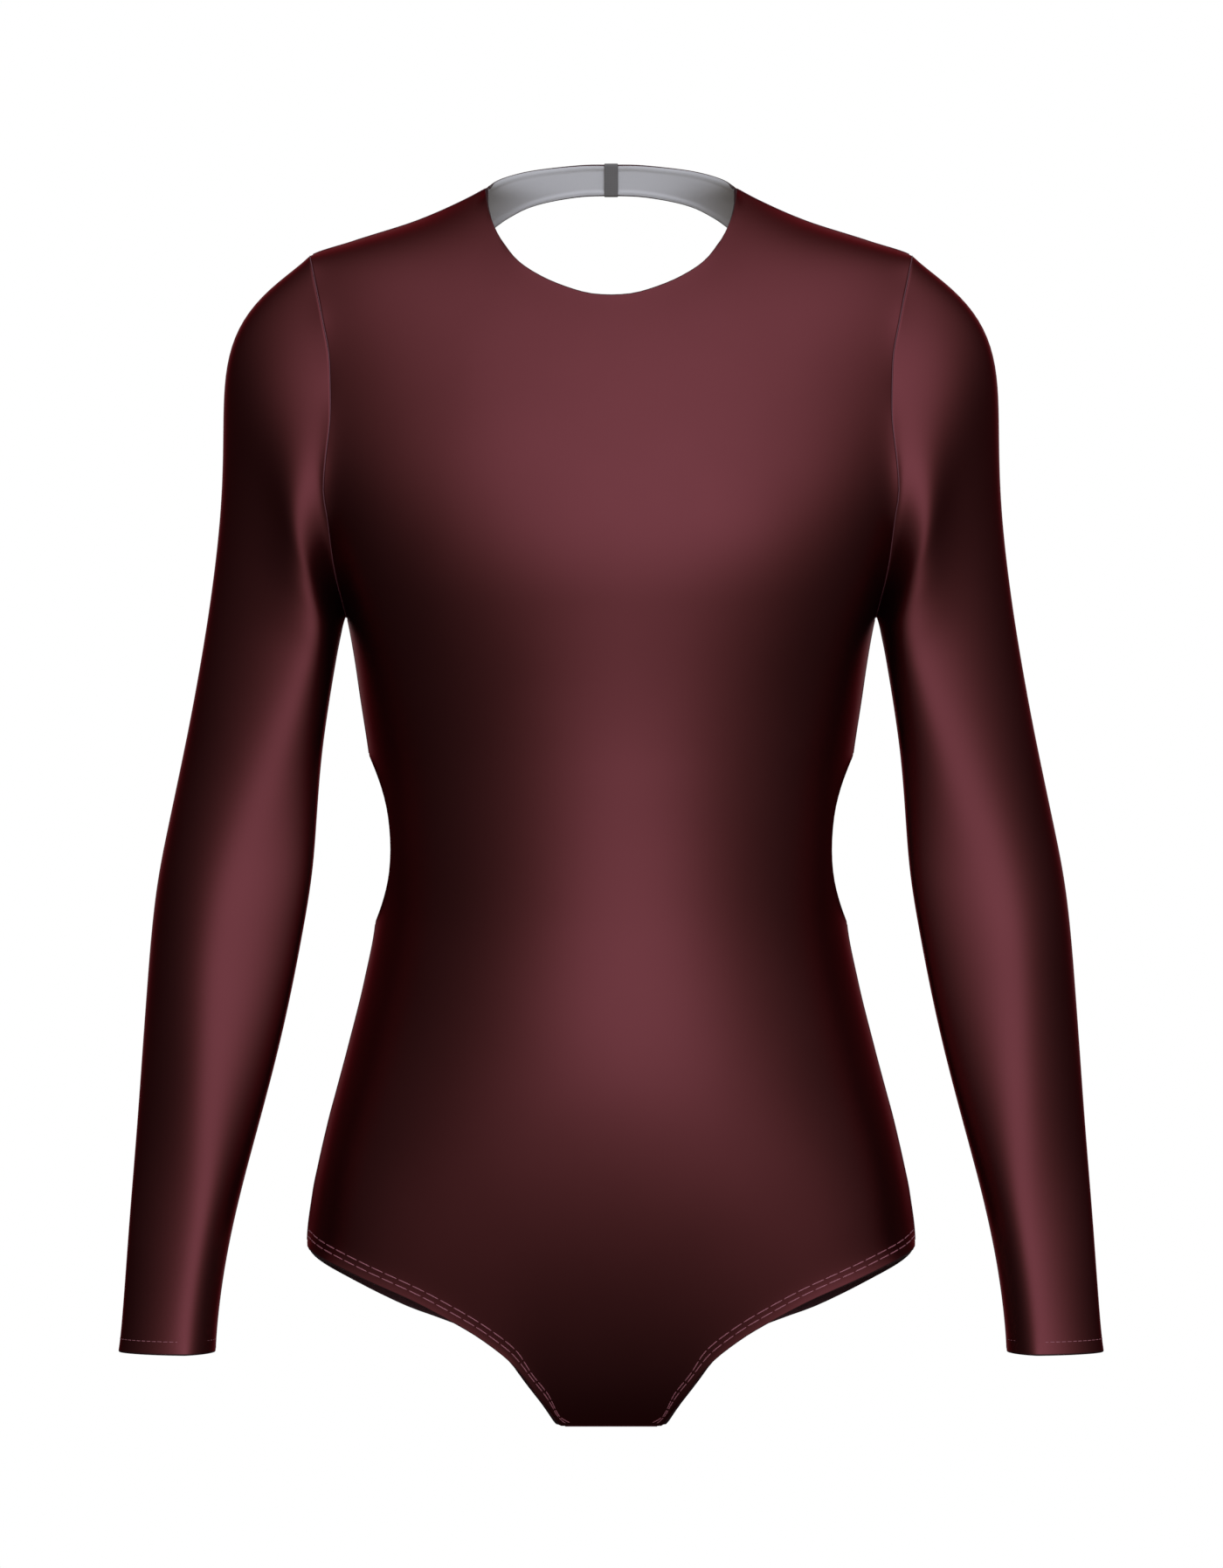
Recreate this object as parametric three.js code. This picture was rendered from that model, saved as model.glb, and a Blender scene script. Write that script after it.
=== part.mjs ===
import * as THREE from 'three';

// A long-sleeved stretch leotard with a wide open back, in the hollow shape it has when worn.
// Sizes are millimetres and +Z is up. The front faces -Y and +X is the right of a front view.
// The origin is on the centre line, in the plane of the shoulder seams and half way up them.

// Cloth
const WALL = 1.2;
const SEAM_GAP = 0.3;
const ARMHOLE_GAP = 0.45;
const RIM_LEAN = 0.35;
const HEM_RISE = 0.5;
const LEG_HEM_DEPTH = 8;
const HEM_STEP = 1;

// Heights of the points where seams and cut edges meet
const NECK_POINT = 18.8;
const SHOULDER_POINT = -18.3;
const UNDERARM = -212.9;
const OPENING_TOP = -287;
const OPENING_BOTTOM = -376.5;
const LEG_TOP = -549;
const CROTCH = -648;
const HIP_ROW = -470;
const CROTCH_HALF_WIDTH = 27;

// How far the open back passes in front of the sides at the waist, in degrees round the body
const OPENING_FORWARD_TURN = 20;

// Steps of the grids that the panels are made from
const ARMHOLE_STEPS = 12;
const SHOULDER_STEPS = 6;
const NECK_STEPS = 6;
const HALF_COLUMNS = SHOULDER_STEPS + NECK_STEPS;
const LEG_STEPS = 9;
const CROTCH_STEPS = 3;

// The general figure that fills the garment, as level sections with rounded sides. The back has the
// same roundness all the way down. The front's flanks are fuller on the chest than at the waist.
const FRONT_ROUNDNESS = 2;
const BACK_ROUNDNESS = 2.4;
const FIGURE_COLUMNS = ['height', 'halfWidth', 'front', 'back', 'frontFullness'];
const FIGURE = [
  [36, 66, 12, 50, 2.4],
  [18.8, 66.3, 14, 53, 2.4],
  [17.8, 68.1, 14.4, 53.2, 2.4],
  [12, 79, 17, 54, 2.4],
  [1, 104, 25, 56, 2.4],
  [-10.3, 139, 33, 59, 2.4],
  [-18.3, 161.9, 40, 63, 2.2],
  [-36, 176, 53, 74, 1.9],
  [-60, 188, 68, 85, 1.7],
  [-90, 189, 85, 94, 1.6],
  [-120, 182, 100, 99, 1.9],
  [-147, 169, 110, 100, 2.45],
  [-165, 158.5, 112.8, 99, 2.75],
  [-186, 151.5, 112.2, 96, 2.65],
  [-212.9, 142.2, 108.2, 91, 2.35],
  [-235, 138, 104.6, 86, 2],
  [-256, 134.9, 101.2, 81.5, 1.72],
  [-287, 130.2, 97.5, 76, 1.57],
  [-320, 126.4, 95, 71.5, 1.5],
  [-350, 125.2, 93.5, 71.5, 1.5],
  [-376.5, 126.8, 93.3, 76.5, 1.5],
  [-407, 132.5, 94.3, 87.5, 1.52],
  [-445, 141.9, 95.5, 104, 1.55],
  [-466, 147.5, 94, 111, 1.62],
  [-482, 151.8, 91.6, 116, 1.7],
  [-508, 157.8, 86, 120, 1.85],
  [-522, 160.6, 82.3, 121, 1.92],
  [-549, 163.6, 73, 119, 2.1],
  [-580, 162, 60, 109, 2.25],
  [-600, 160, 49.2, 96, 2.3],
  [-620, 157, 35.6, 76, 2.35],
  [-636, 154, 21, 51, 2.4],
  [-644, 152, 10, 28, 2.4],
  [-648, 150, 0, 0, 2.4],
];

// Where the rays that press points on to the figure start: level with the point on the trunk,
// below it at the shoulders and neck, and above it at the crotch
const RAY_LEAN = 0.35;
const RAY_COLUMNS = ['height', 'start'];
const RAY_STARTS = [
  [36, 30],
  [18.8, 8],
  [5, -60],
  [-18.3, -110],
  [-110, -110],
  [-560, -560],
  [-648, -560],
];

// The armhole seam as it shows from the front
const ARMHOLE_COLUMNS = ['height', 'fromCentre'];
const ARMHOLE = [
  [-18.3, 161.9],
  [-54.5, 153.9],
  [-78, 149.7],
  [-105, 148.9],
  [-134, 151.7],
  [-147, 152.5],
  [-161, 150.6],
  [-186, 147.8],
  [-212.9, 142.2],
];

// Cut edges, each as points on the figure given by distance from the centre line and height
const FRONT_NECKLINE = [
  [67, 12], [62.8, -3.8], [51.2, -22.6], [36.5, -33.4], [19, -40.8], [9, -43.2], [0, -43.7],
];
const BACK_NECKLINE = [[64.6, 21.5], [57.5, 25.8], [46, 29.8], [28, 33], [14, 34.5]];
const NECK_BAND_TOP = 34.8;
const NECK_BAND_FOOT = 19.6;
const BAND_LOWER_EDGE = [[16, 19.1], [38.8, 14.9], [47.8, 11.8], [54, 8.6], [59.3, 5.4], [64, 2]];
const SHOULDER_INNER_EDGE = [[64, 2], [76, -9], [90, -27], [104, -55]];
const BLADE_INNER_EDGE = [[104, -55], [110, -90], [112, -130], [110.5, -175], [111, -213], [115, -243]];
const FRONT_LEG = [
  [149.5, -557.5], [129, -566.5], [104.5, -577], [83, -588.5], [68, -598], [51.5, -612], [39.5, -629],
  [31, -641],
];
const BACK_LEG = [
  [146, -570.4], [128, -581.3], [110, -590.3], [95, -596], [76, -604], [55, -619], [40, -632], [31, -642],
];

// The last stretch of the open back's upper edge before the side, as degrees round from the centre
const BLADE_TO_SIDE = [[60, -262], [70, -277], [80, -285]];
const LOW_BACK_EDGE = [[80, -379], [66, -388], [50, -401], [33, -414], [15, -422.5], [0, -425]];

// The sleeve, as stations down the arm: its outer and inner contour from the front, and its depth
const SLEEVE_COLUMNS = ['outerX', 'outerZ', 'innerX', 'innerZ', 'middleY', 'halfDepth'];
const SLEEVE = [
  [161.9, -18.3, 142.2, -212.9, 0, 42],
  [180, -30, 142.6, -214.6, 0, 43],
  [197, -46.5, 143, -216.4, 0, 44.5],
  [206, -65, 143.4, -218.3, 0, 45.5],
  [209.4, -87, 143.8, -220.3, 0, 46],
  [209.3, -111, 144.2, -222.5, 1, 46],
  [209.5, -136, 144.7, -225, 1, 45.5],
  [211, -160, 145.3, -228, 2, 45],
  [213.5, -183, 146, -232, 2, 44.5],
  [216.4, -205, 147, -238, 3, 44],
  [220, -228, 148.5, -247, 3, 43.5],
  [224, -250.5, 150.6, -260, 4, 43],
  [228, -272, 153, -276, 4, 42.5],
  [232.2, -292, 155.1, -293, 5, 42],
  [236.4, -312, 156.5, -312, 5, 41.5],
  [240.4, -331, 157.7, -331, 5, 41],
  [244.3, -350, 159, -350, 4, 40.5],
  [247, -371, 162.5, -371, 2, 40],
  [248.9, -394, 166.7, -394, 0, 39],
  [250.5, -418, 171.4, -418, -3, 38],
  [252.1, -443, 177, -443, -6, 36.5],
  [253.6, -468, 183.5, -468, -9, 34.5],
  [255.2, -493, 190.3, -493, -12, 32],
  [257.1, -518, 197.2, -518, -15, 29.5],
  [258.8, -543, 203, -543, -18, 27.5],
  [260.4, -568, 207.6, -568, -20, 26],
  [261.9, -590, 210, -590, -22, 25.2],
  [262.5, -597.7, 210.5, -597.7, -23, 25],
  [262.6, -598.7, 210.6, -598.7, -23, 25],
  [263.2, -605, 211.2, -605, -23, 25],
];

// The front of the sleeve by the height of its outer contour: where it is fullest, from -1 at the
// inner contour to 1 at the outer, how far forward of the middle the inner contour lies, and how
// round the stretch from the fullest place to the outer contour is
const SLEEVE_FRONT_COLUMNS = ['outerZ', 'ridge', 'innerForward', 'outerPower'];
const SLEEVE_FRONT = [
  [-18, -0.9, 0, 1.6],
  [-105, -0.95, 6, 1.5],
  [-163, -0.95, 12, 1.5],
  [-205, -0.6, 18, 1.6],
  [-257, -0.45, 22, 1.8],
  [-304, -0.2, 24, 2],
  [-350, 0.1, 24, 1.9],
  [-394, 0.1, 20, 1.8],
  [-444, 0, 16, 1.7],
  [-493, -0.2, 10, 1.8],
  [-531, -0.42, 5, 1.9],
  [-605, -0.4, 2, 2],
];
const INNER_FRONT_POWER = 1.7;
const CAP_STATIONS = 10;
const CUFF_HEM_STATION = 28;

// The closure at the centre back of the neck band: a flat loop round both ends of the band
const CLOSURE = { width: 7.5, wall: 1, clearance: 0.4, corner: 1.4 };

const FRONT = -1;
const BACK = 1;

// A smooth curve through rising or falling rows that never overshoots them
function smoothCurve(rows, columns, name) {
  const column = columns.indexOf(name);
  const knots = rows.map((row) => [row[0], row[column]]).sort((a, b) => a[0] - b[0]);
  const secant = (i) => (knots[i + 1][1] - knots[i][1]) / (knots[i + 1][0] - knots[i][0]);
  const slopes = knots.map((knot, i) => {
    if (i === 0) return secant(0);
    if (i === knots.length - 1) return secant(i - 1);
    const before = secant(i - 1);
    const after = secant(i);
    return before * after > 0 ? (2 * before * after) / (before + after) : 0;
  });
  return (at) => {
    const x = THREE.MathUtils.clamp(at, knots[0][0], knots[knots.length - 1][0]);
    let i = 0;
    while (i < knots.length - 2 && x > knots[i + 1][0]) i += 1;
    const span = knots[i + 1][0] - knots[i][0];
    const t = (x - knots[i][0]) / span;
    const start = knots[i][1] * (1 + 2 * t) * (1 - t) ** 2 + slopes[i] * span * t * (1 - t) ** 2;
    const end = knots[i + 1][1] * t * t * (3 - 2 * t) + slopes[i + 1] * span * t * t * (t - 1);
    return start + end;
  };
}

const halfWidth = smoothCurve(FIGURE, FIGURE_COLUMNS, 'halfWidth');
const frontDepth = smoothCurve(FIGURE, FIGURE_COLUMNS, 'front');
const backDepth = smoothCurve(FIGURE, FIGURE_COLUMNS, 'back');
const frontFullness = smoothCurve(FIGURE, FIGURE_COLUMNS, 'frontFullness');
const rayStart = smoothCurve(RAY_STARTS, RAY_COLUMNS, 'start');
const armholeX = smoothCurve(ARMHOLE, ARMHOLE_COLUMNS, 'fromCentre');
const sleeveRidge = smoothCurve(SLEEVE_FRONT, SLEEVE_FRONT_COLUMNS, 'ridge');
const innerForward = smoothCurve(SLEEVE_FRONT, SLEEVE_FRONT_COLUMNS, 'innerForward');
const outerPower = smoothCurve(SLEEVE_FRONT, SLEEVE_FRONT_COLUMNS, 'outerPower');
const depthOf = (side, z) => (side === FRONT ? frontDepth(z) : backDepth(z));
const acrossPower = (side) => (side === FRONT ? FRONT_ROUNDNESS : BACK_ROUNDNESS);
const depthPower = (side, z) => (side === FRONT ? frontFullness(z) : BACK_ROUNDNESS);

// A point on the figure, from its distance from the centre line and its height
function onFigure(side, x, z) {
  const reach = Math.min(1, Math.abs(x) / halfWidth(z));
  const fill = (1 - reach ** acrossPower(side)) ** (1 / depthPower(side, z));
  return new THREE.Vector3(x, side * depthOf(side, z) * fill, z);
}

// A point on the figure, from the degrees round from the centre line, where 90 is the side
function aroundFigure(side, degrees, z) {
  const turn = THREE.MathUtils.degToRad(Math.abs(degrees));
  const x = Math.sign(degrees) * halfWidth(z) * Math.sin(turn) ** (2 / acrossPower(side));
  const cosine = Math.abs(degrees) === 90 ? 0 : Math.cos(turn);
  return new THREE.Vector3(x, side * depthOf(side, z) * cosine ** (2 / depthPower(side, z)), z);
}

// Moves a point out or in along a ray from inside the body until it lies on the figure.
// The rays run straight forward or back near the centre line, and lean outward near the sides.
function pressToFigure(point) {
  const reach = Math.min(1, Math.abs(point.x) / halfWidth(point.z));
  const innerX = point.x * (1 - RAY_LEAN * reach * reach);
  const inner = new THREE.Vector3(innerX, 0, rayStart(point.z));
  const ray = point.clone().sub(inner);
  let near = 0.1;
  let far = 4;
  for (let i = 0; i < 40; i += 1) {
    const middle = (near + far) / 2;
    const trial = inner.clone().addScaledVector(ray, middle);
    const side = trial.y < 0 ? FRONT : BACK;
    const depth = Math.max(1e-6, depthOf(side, trial.z));
    const across = (Math.abs(trial.x) / halfWidth(trial.z)) ** acrossPower(side);
    const through = (Math.abs(trial.y) / depth) ** depthPower(side, trial.z);
    if (across + through < 1) near = middle;
    else far = middle;
  }
  return inner.addScaledVector(ray, near);
}

// An edge of a panel: evenly spaced points along a smooth curve that lies on the figure
function edgeThrough(points, steps) {
  const curve = new THREE.CatmullRomCurve3(points, false, 'centripetal');
  const spaced = curve.getSpacedPoints(steps);
  return spaced.map((point, i) => (i === 0 || i === steps ? point : pressToFigure(point)));
}

// A seam in the plane of the side and shoulder seams, which front and back share
function sideSeam(from, to, steps) {
  const marks = 16;
  const points = [];
  for (let i = 0; i <= marks; i += 1) {
    const z = from + ((to - from) * i) / marks;
    points.push(new THREE.Vector3(halfWidth(z), 0, z));
  }
  return new THREE.CatmullRomCurve3(points, false, 'centripetal').getSpacedPoints(steps);
}

const join = (...edges) => edges.flatMap((edge, i) => (i === 0 ? edge : edge.slice(1)));
const flipped = (edge) => edge.map((point) => new THREE.Vector3(-point.x, point.y, point.z));
const mirrored = (edge) => flipped(edge).reverse();
const marksOn = (side, marks) => marks.map(([x, z]) => onFigure(side, x, z));
const turnsOn = (side, marks) => marks.map(([degrees, z]) => aroundFigure(side, degrees, z));

const neckPoint = new THREE.Vector3(halfWidth(NECK_POINT), 0, NECK_POINT);
const openingTop = aroundFigure(BACK, 90, OPENING_TOP);
const openingBottom = aroundFigure(BACK, 90, OPENING_BOTTOM);
const legTop = aroundFigure(BACK, 90, LEG_TOP);
const crotchCorner = new THREE.Vector3(CROTCH_HALF_WIDTH, 0, CROTCH);
const armholeMiddle = (SHOULDER_POINT + UNDERARM) / 2;
const armholeReach = (SHOULDER_POINT - UNDERARM) / 2;

// The armhole seam at an angle round the arm: 0 at the shoulder, 180 under the arm
function armholePoint(degrees) {
  const side = degrees <= 180 ? FRONT : BACK;
  const z = armholeMiddle + armholeReach * Math.cos(THREE.MathUtils.degToRad(degrees));
  return onFigure(side, armholeX(z), z);
}

function armholeEdge(side) {
  const edge = [];
  for (let i = 0; i <= ARMHOLE_STEPS; i += 1) {
    const degrees = (180 * i) / ARMHOLE_STEPS;
    edge.push(armholePoint(side === FRONT ? degrees : 360 - degrees));
  }
  return edge;
}

const shoulderSeam = sideSeam(NECK_POINT, SHOULDER_POINT, SHOULDER_STEPS);
const crotchSeam = edgeThrough([crotchCorner, new THREE.Vector3(0, 0, CROTCH)], CROTCH_STEPS)
  .map((point) => new THREE.Vector3(point.x, 0, CROTCH));

// A grid of points filled in between four edges, pressed on to the figure
function fillBetween(top, bottom, start, end) {
  const rows = start.length - 1;
  const columns = top.length - 1;
  return start.map((startPoint, row) => top.map((topPoint, column) => {
    const v = row / rows;
    const u = column / columns;
    if (row === 0) return topPoint.clone();
    if (row === rows) return bottom[column].clone();
    if (column === 0) return startPoint.clone();
    if (column === columns) return end[row].clone();
    const point = new THREE.Vector3();
    point.addScaledVector(topPoint, 1 - v).addScaledVector(bottom[column], v);
    point.addScaledVector(startPoint, 1 - u).addScaledVector(end[row], u);
    point.addScaledVector(top[0], -(1 - u) * (1 - v)).addScaledVector(top[columns], -u * (1 - v));
    point.addScaledVector(bottom[0], -(1 - u) * v).addScaledVector(bottom[columns], -u * v);
    return pressToFigure(point);
  }));
}

// A level row of the front panel, from one edge to the other, out to the given degrees
function levelRow(degrees, z) {
  const row = [];
  for (let i = 0; i <= 2 * HALF_COLUMNS; i += 1) {
    row.push(aroundFigure(FRONT, degrees * (1 - i / HALF_COLUMNS), z));
  }
  return row;
}

// A line set in from an edge of the cloth, square to it, towards the row of points above
function setIn(edge, above, depth) {
  return edge.map((point, i) => {
    const before = edge[Math.max(0, i - 1)];
    const along = edge[Math.min(edge.length - 1, i + 1)].clone().sub(before).normalize();
    const inward = above[i].clone().sub(point);
    inward.addScaledVector(along, -inward.dot(along)).normalize();
    const moved = point.clone().addScaledVector(inward, depth);
    if (i === 0 || i === edge.length - 1) {
      return new THREE.Vector3(Math.sign(point.x) * halfWidth(moved.z), 0, moved.z);
    }
    return pressToFigure(moved);
  });
}

// The lower part of a panel, from a row of points down to the leg edges with their turned hems
function fillToLegs(top, bottom, seamFrom, rows) {
  const seamTo = (z) => sideSeam(seamFrom, z, rows);
  const rough = fillBetween(top, bottom, seamTo(LEG_TOP), flipped(seamTo(LEG_TOP)));
  const above = rough[rows - 1];
  const hemTop = setIn(bottom, above, LEG_HEM_DEPTH + HEM_STEP);
  const hemFold = setIn(bottom, above, LEG_HEM_DEPTH);
  const seam = seamTo(hemTop[0].z);
  const edge = bottom.map((point) => point.clone());
  return [...fillBetween(top, hemTop, seam, flipped(seam)), hemFold, edge];
}

// How far the turned hem stands out: on the leg edges only, not along the crotch seam
function legHemRise(grid) {
  const last = grid[0].length - 1;
  return (row, column) => {
    const onLeg = Math.min(column, last - column) <= LEG_STEPS;
    return row >= grid.length - 2 && onLeg ? HEM_RISE : 0;
  };
}

// The outward direction at each grid point, from the neighbours along and across
function outwardDirections(grid, wraps) {
  const rows = grid.length - 1;
  const columns = grid[0].length - 1;
  const around = (column) => (wraps ? (column + grid[0].length) % grid[0].length
    : THREE.MathUtils.clamp(column, 0, columns));
  return grid.map((points, row) => points.map((point, column) => {
    const along = points[around(column + 1)].clone().sub(points[around(column - 1)]);
    const below = grid[Math.min(rows, row + 1)][column];
    const down = below.clone().sub(grid[Math.max(0, row - 1)][column]);
    return along.cross(down).normalize();
  }));
}

// A closed wall of cloth on a grid whose rows run so that along x down points outward
function clothGeometry(grid, { wraps = false, adjust = (normal) => normal, rise = () => 0 } = {}) {
  const width = grid[0].length;
  const normals = outwardDirections(grid, wraps).map((line, row) => line.map((normal, column) => (
    adjust(normal, grid[row][column], row, column).normalize())));
  const positions = [];
  grid.forEach((line, row) => line.forEach((point, column) => {
    positions.push(...point.clone().addScaledVector(normals[row][column], rise(row, column)).toArray());
  }));
  grid.forEach((line, row) => line.forEach((point, column) => {
    positions.push(...point.clone().addScaledVector(normals[row][column], -WALL).toArray());
  }));
  const innerStart = grid.length * width;
  const outer = (row, column) => row * width + (column % width);
  const inner = (row, column) => innerStart + outer(row, column);
  const triangles = [];
  const quad = (a, b, c, d) => triangles.push(a, b, c, a, c, d);
  const spans = wraps ? width : width - 1;
  for (let row = 0; row < grid.length - 1; row += 1) {
    for (let column = 0; column < spans; column += 1) {
      const next = column + 1;
      quad(outer(row, column), outer(row, next), outer(row + 1, next), outer(row + 1, column));
      quad(inner(row, column), inner(row + 1, column), inner(row + 1, next), inner(row, next));
    }
  }
  for (let column = 0; column < spans; column += 1) {
    const next = column + 1;
    const last = grid.length - 1;
    quad(outer(0, column), inner(0, column), inner(0, next), outer(0, next));
    quad(outer(last, column), outer(last, next), inner(last, next), inner(last, column));
  }
  for (let row = 0; !wraps && row < grid.length - 1; row += 1) {
    const last = width - 1;
    quad(outer(row, 0), outer(row + 1, 0), inner(row + 1, 0), inner(row, 0));
    quad(outer(row, last), inner(row, last), inner(row + 1, last), outer(row + 1, last));
  }
  const geometry = new THREE.BufferGeometry();
  geometry.setAttribute('position', new THREE.Float32BufferAttribute(positions, 3));
  geometry.setIndex(triangles);
  geometry.computeVertexNormals();
  return geometry;
}

// Draws a panel back from the seams it shares, by half the gap, on the edges of its grid
function partFromSeams(grid, side) {
  const last = grid[0].length - 1;
  grid.forEach((line, row) => line.forEach((point, column) => {
    const onEdge = row === 0 || row === grid.length - 1 || column === 0 || column === last;
    if (onEdge && Math.abs(point.y) < 1e-6) point.y = (side * SEAM_GAP) / 2;
  }));
  return grid;
}

// The cut face of a wall stands square to its seam: level with it in y at sides and shoulders,
// and leaning out from the middle of the armhole where the sleeve is set in
function squareToSeams(isArmhole) {
  return (normal, point, row, column) => {
    if (Math.abs(Math.abs(point.y) - SEAM_GAP / 2) < 1e-6) normal.setY(0);
    if (isArmhole(row, column)) {
      const outward = new THREE.Vector3(0, point.y, point.z - armholeMiddle).normalize();
      normal.normalize().multiplyScalar(RIM_LEAN).add(outward);
    }
    return normal;
  };
}

function frontPanel() {
  const neckline = edgeThrough([neckPoint, ...marksOn(FRONT, FRONT_NECKLINE)], NECK_STEPS);
  const halfTop = join([...shoulderSeam].reverse(), neckline);
  const armhole = armholeEdge(FRONT);
  const chestRow = levelRow(90, UNDERARM);
  const chest = fillBetween(join(halfTop, mirrored(halfTop)), chestRow, armhole, flipped(armhole));

  const waist = [];
  for (let i = 1; i <= 3; i += 1) {
    waist.push(levelRow(90, UNDERARM + ((OPENING_TOP - UNDERARM) * i) / 3));
  }
  const cutSteps = 6;
  const cutMiddle = (OPENING_TOP + OPENING_BOTTOM) / 2;
  const cutReach = (OPENING_TOP - OPENING_BOTTOM) / 2;
  for (let i = 1; i <= cutSteps; i += 1) {
    const turn = (Math.PI * i) / cutSteps;
    const degrees = i === cutSteps ? 90 : 90 - OPENING_FORWARD_TURN * Math.sin(turn);
    waist.push(levelRow(degrees, cutMiddle + cutReach * Math.cos(turn)));
  }
  for (let i = 1; i <= 4; i += 1) {
    waist.push(levelRow(90, OPENING_BOTTOM + ((HIP_ROW - OPENING_BOTTOM) * i) / 4));
  }

  const legEdge = edgeThrough([legTop, ...marksOn(FRONT, FRONT_LEG), crotchCorner], LEG_STEPS);
  const halfBottom = join(legEdge, crotchSeam);
  const bottom = join(halfBottom, mirrored(halfBottom));
  const seat = fillToLegs(waist[waist.length - 1], bottom, HIP_ROW, 6);
  const grid = partFromSeams([...chest, ...waist, ...seat.slice(1)], FRONT);
  const last = grid[0].length - 1;
  const isArmhole = (row, column) => row <= ARMHOLE_STEPS && (column === 0 || column === last);
  return clothGeometry(grid, {
    adjust: squareToSeams(isArmhole),
    rise: legHemRise(grid),
  });
}

// The shoulder blade piece on the right of the front view, from the centre back to the side seam
function bladePanel() {
  const bandSteps = 7;
  const bandTop = onFigure(BACK, SEAM_GAP, NECK_BAND_TOP);
  const bandFoot = onFigure(BACK, SEAM_GAP, NECK_BAND_FOOT);
  const backNeck = edgeThrough([neckPoint, ...marksOn(BACK, BACK_NECKLINE), bandTop], bandSteps);
  const upper = join([...backNeck].reverse(), shoulderSeam, armholeEdge(BACK));
  const bandEdge = edgeThrough([bandFoot, ...marksOn(BACK, BAND_LOWER_EDGE)], bandSteps);
  const shoulderEdge = edgeThrough(marksOn(BACK, SHOULDER_INNER_EDGE), SHOULDER_STEPS);
  const bladeMarks = [...marksOn(BACK, BLADE_INNER_EDGE), ...turnsOn(BACK, BLADE_TO_SIDE), openingTop];
  const lower = join(bandEdge, shoulderEdge, edgeThrough(bladeMarks, ARMHOLE_STEPS));
  const across = 6;
  const centre = edgeThrough([bandTop, bandFoot], across);
  const side = sideSeam(UNDERARM, OPENING_TOP, across);
  const strip = fillBetween(upper, lower, centre, side);
  const grid = partFromSeams(strip, BACK);
  const armholeStart = bandSteps + SHOULDER_STEPS;
  const square = squareToSeams((row, column) => row === 0 && column >= armholeStart);
  return clothGeometry(grid, {
    adjust: (normal, point, row, column) => {
      if (column === 0) normal.setX(0);
      return square(normal, point, row, column);
    },
  });
}

function seatPanel() {
  const halfTop = edgeThrough([openingBottom, ...turnsOn(BACK, LOW_BACK_EDGE)], HALF_COLUMNS);
  const legEdge = edgeThrough([legTop, ...marksOn(BACK, BACK_LEG), crotchCorner], LEG_STEPS);
  const halfBottom = join(legEdge, crotchSeam);
  const bottom = join(halfBottom, mirrored(halfBottom));
  const filled = fillToLegs(join(halfTop, mirrored(halfTop)), bottom, OPENING_BOTTOM, 10);
  const grid = partFromSeams(filled.map((line) => line.reverse()), BACK);
  return clothGeometry(grid, { adjust: squareToSeams(() => false), rise: legHemRise(grid) });
}

// One ring of the sleeve before it is fitted to the armhole, between its two contours. The front
// swells to its ridge, and flattens from there towards the seam on the inner contour.
function sleeveRing(station, degrees) {
  const { outerX, outerZ, innerX, innerZ, middleY, halfDepth } = station;
  const turn = THREE.MathUtils.degToRad(degrees);
  const across = Math.cos(turn);
  const outward = (across + 1) / 2;
  const ridge = sleeveRidge(outerZ);
  const innerY = middleY - innerForward(outerZ);
  let y = THREE.MathUtils.lerp(innerY, middleY, outward) + halfDepth * Math.abs(Math.sin(turn));
  if (degrees > 0 && degrees < 180) {
    const isOuter = across > ridge;
    const power = isOuter ? outerPower(outerZ) : INNER_FRONT_POWER;
    const fromRidge = isOuter ? (across - ridge) / (1 - ridge) : (ridge - across) / (1 + ridge);
    const fullness = (1 - fromRidge ** power) ** (1 / power);
    y = THREE.MathUtils.lerp(isOuter ? middleY : innerY, middleY - halfDepth, fullness);
  }
  const x = THREE.MathUtils.lerp(innerX, outerX, outward);
  const z = THREE.MathUtils.lerp(innerZ, outerZ, outward);
  return new THREE.Vector3(x, y, z);
}

function sleeve() {
  const around = 2 * ARMHOLE_STEPS;
  const byName = (row) => Object.fromEntries(SLEEVE_COLUMNS.map((name, i) => [name, row[i]]));
  const stations = SLEEVE.map(byName);
  const grid = stations.map((station, row) => {
    const fitted = 1 - THREE.MathUtils.smoothstep(row, 0, CAP_STATIONS);
    return Array.from({ length: around }, (_, i) => {
      const degrees = (360 * i) / around;
      const toArmhole = armholePoint(degrees).sub(sleeveRing(stations[0], degrees));
      const point = sleeveRing(station, degrees).addScaledVector(toArmhole, fitted);
      return point.add(new THREE.Vector3(ARMHOLE_GAP, 0, 0));
    });
  });
  return clothGeometry(grid, {
    wraps: true,
    adjust: squareToSeams((row) => row === 0),
    rise: (row) => (row >= CUFF_HEM_STATION ? HEM_RISE : 0),
  });
}

// The same piece for the other side of the body
function mirrorGeometry(geometry) {
  const other = geometry.clone().scale(-1, 1, 1);
  const index = other.getIndex();
  for (let i = 0; i < index.count; i += 3) {
    const second = index.getX(i + 1);
    index.setX(i + 1, index.getX(i + 2));
    index.setX(i + 2, second);
  }
  other.computeVertexNormals();
  return other;
}

function roundedRectangle(path, width, height, corner) {
  const right = width / 2;
  const top = height / 2;
  path.moveTo(-right + corner, -top);
  path.lineTo(right - corner, -top);
  path.quadraticCurveTo(right, -top, right, -top + corner);
  path.lineTo(right, top - corner);
  path.quadraticCurveTo(right, top, right - corner, top);
  path.lineTo(-right + corner, top);
  path.quadraticCurveTo(-right, top, -right, top - corner);
  path.lineTo(-right, -top + corner);
  path.quadraticCurveTo(-right, -top, -right + corner, -top);
  return path;
}

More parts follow.
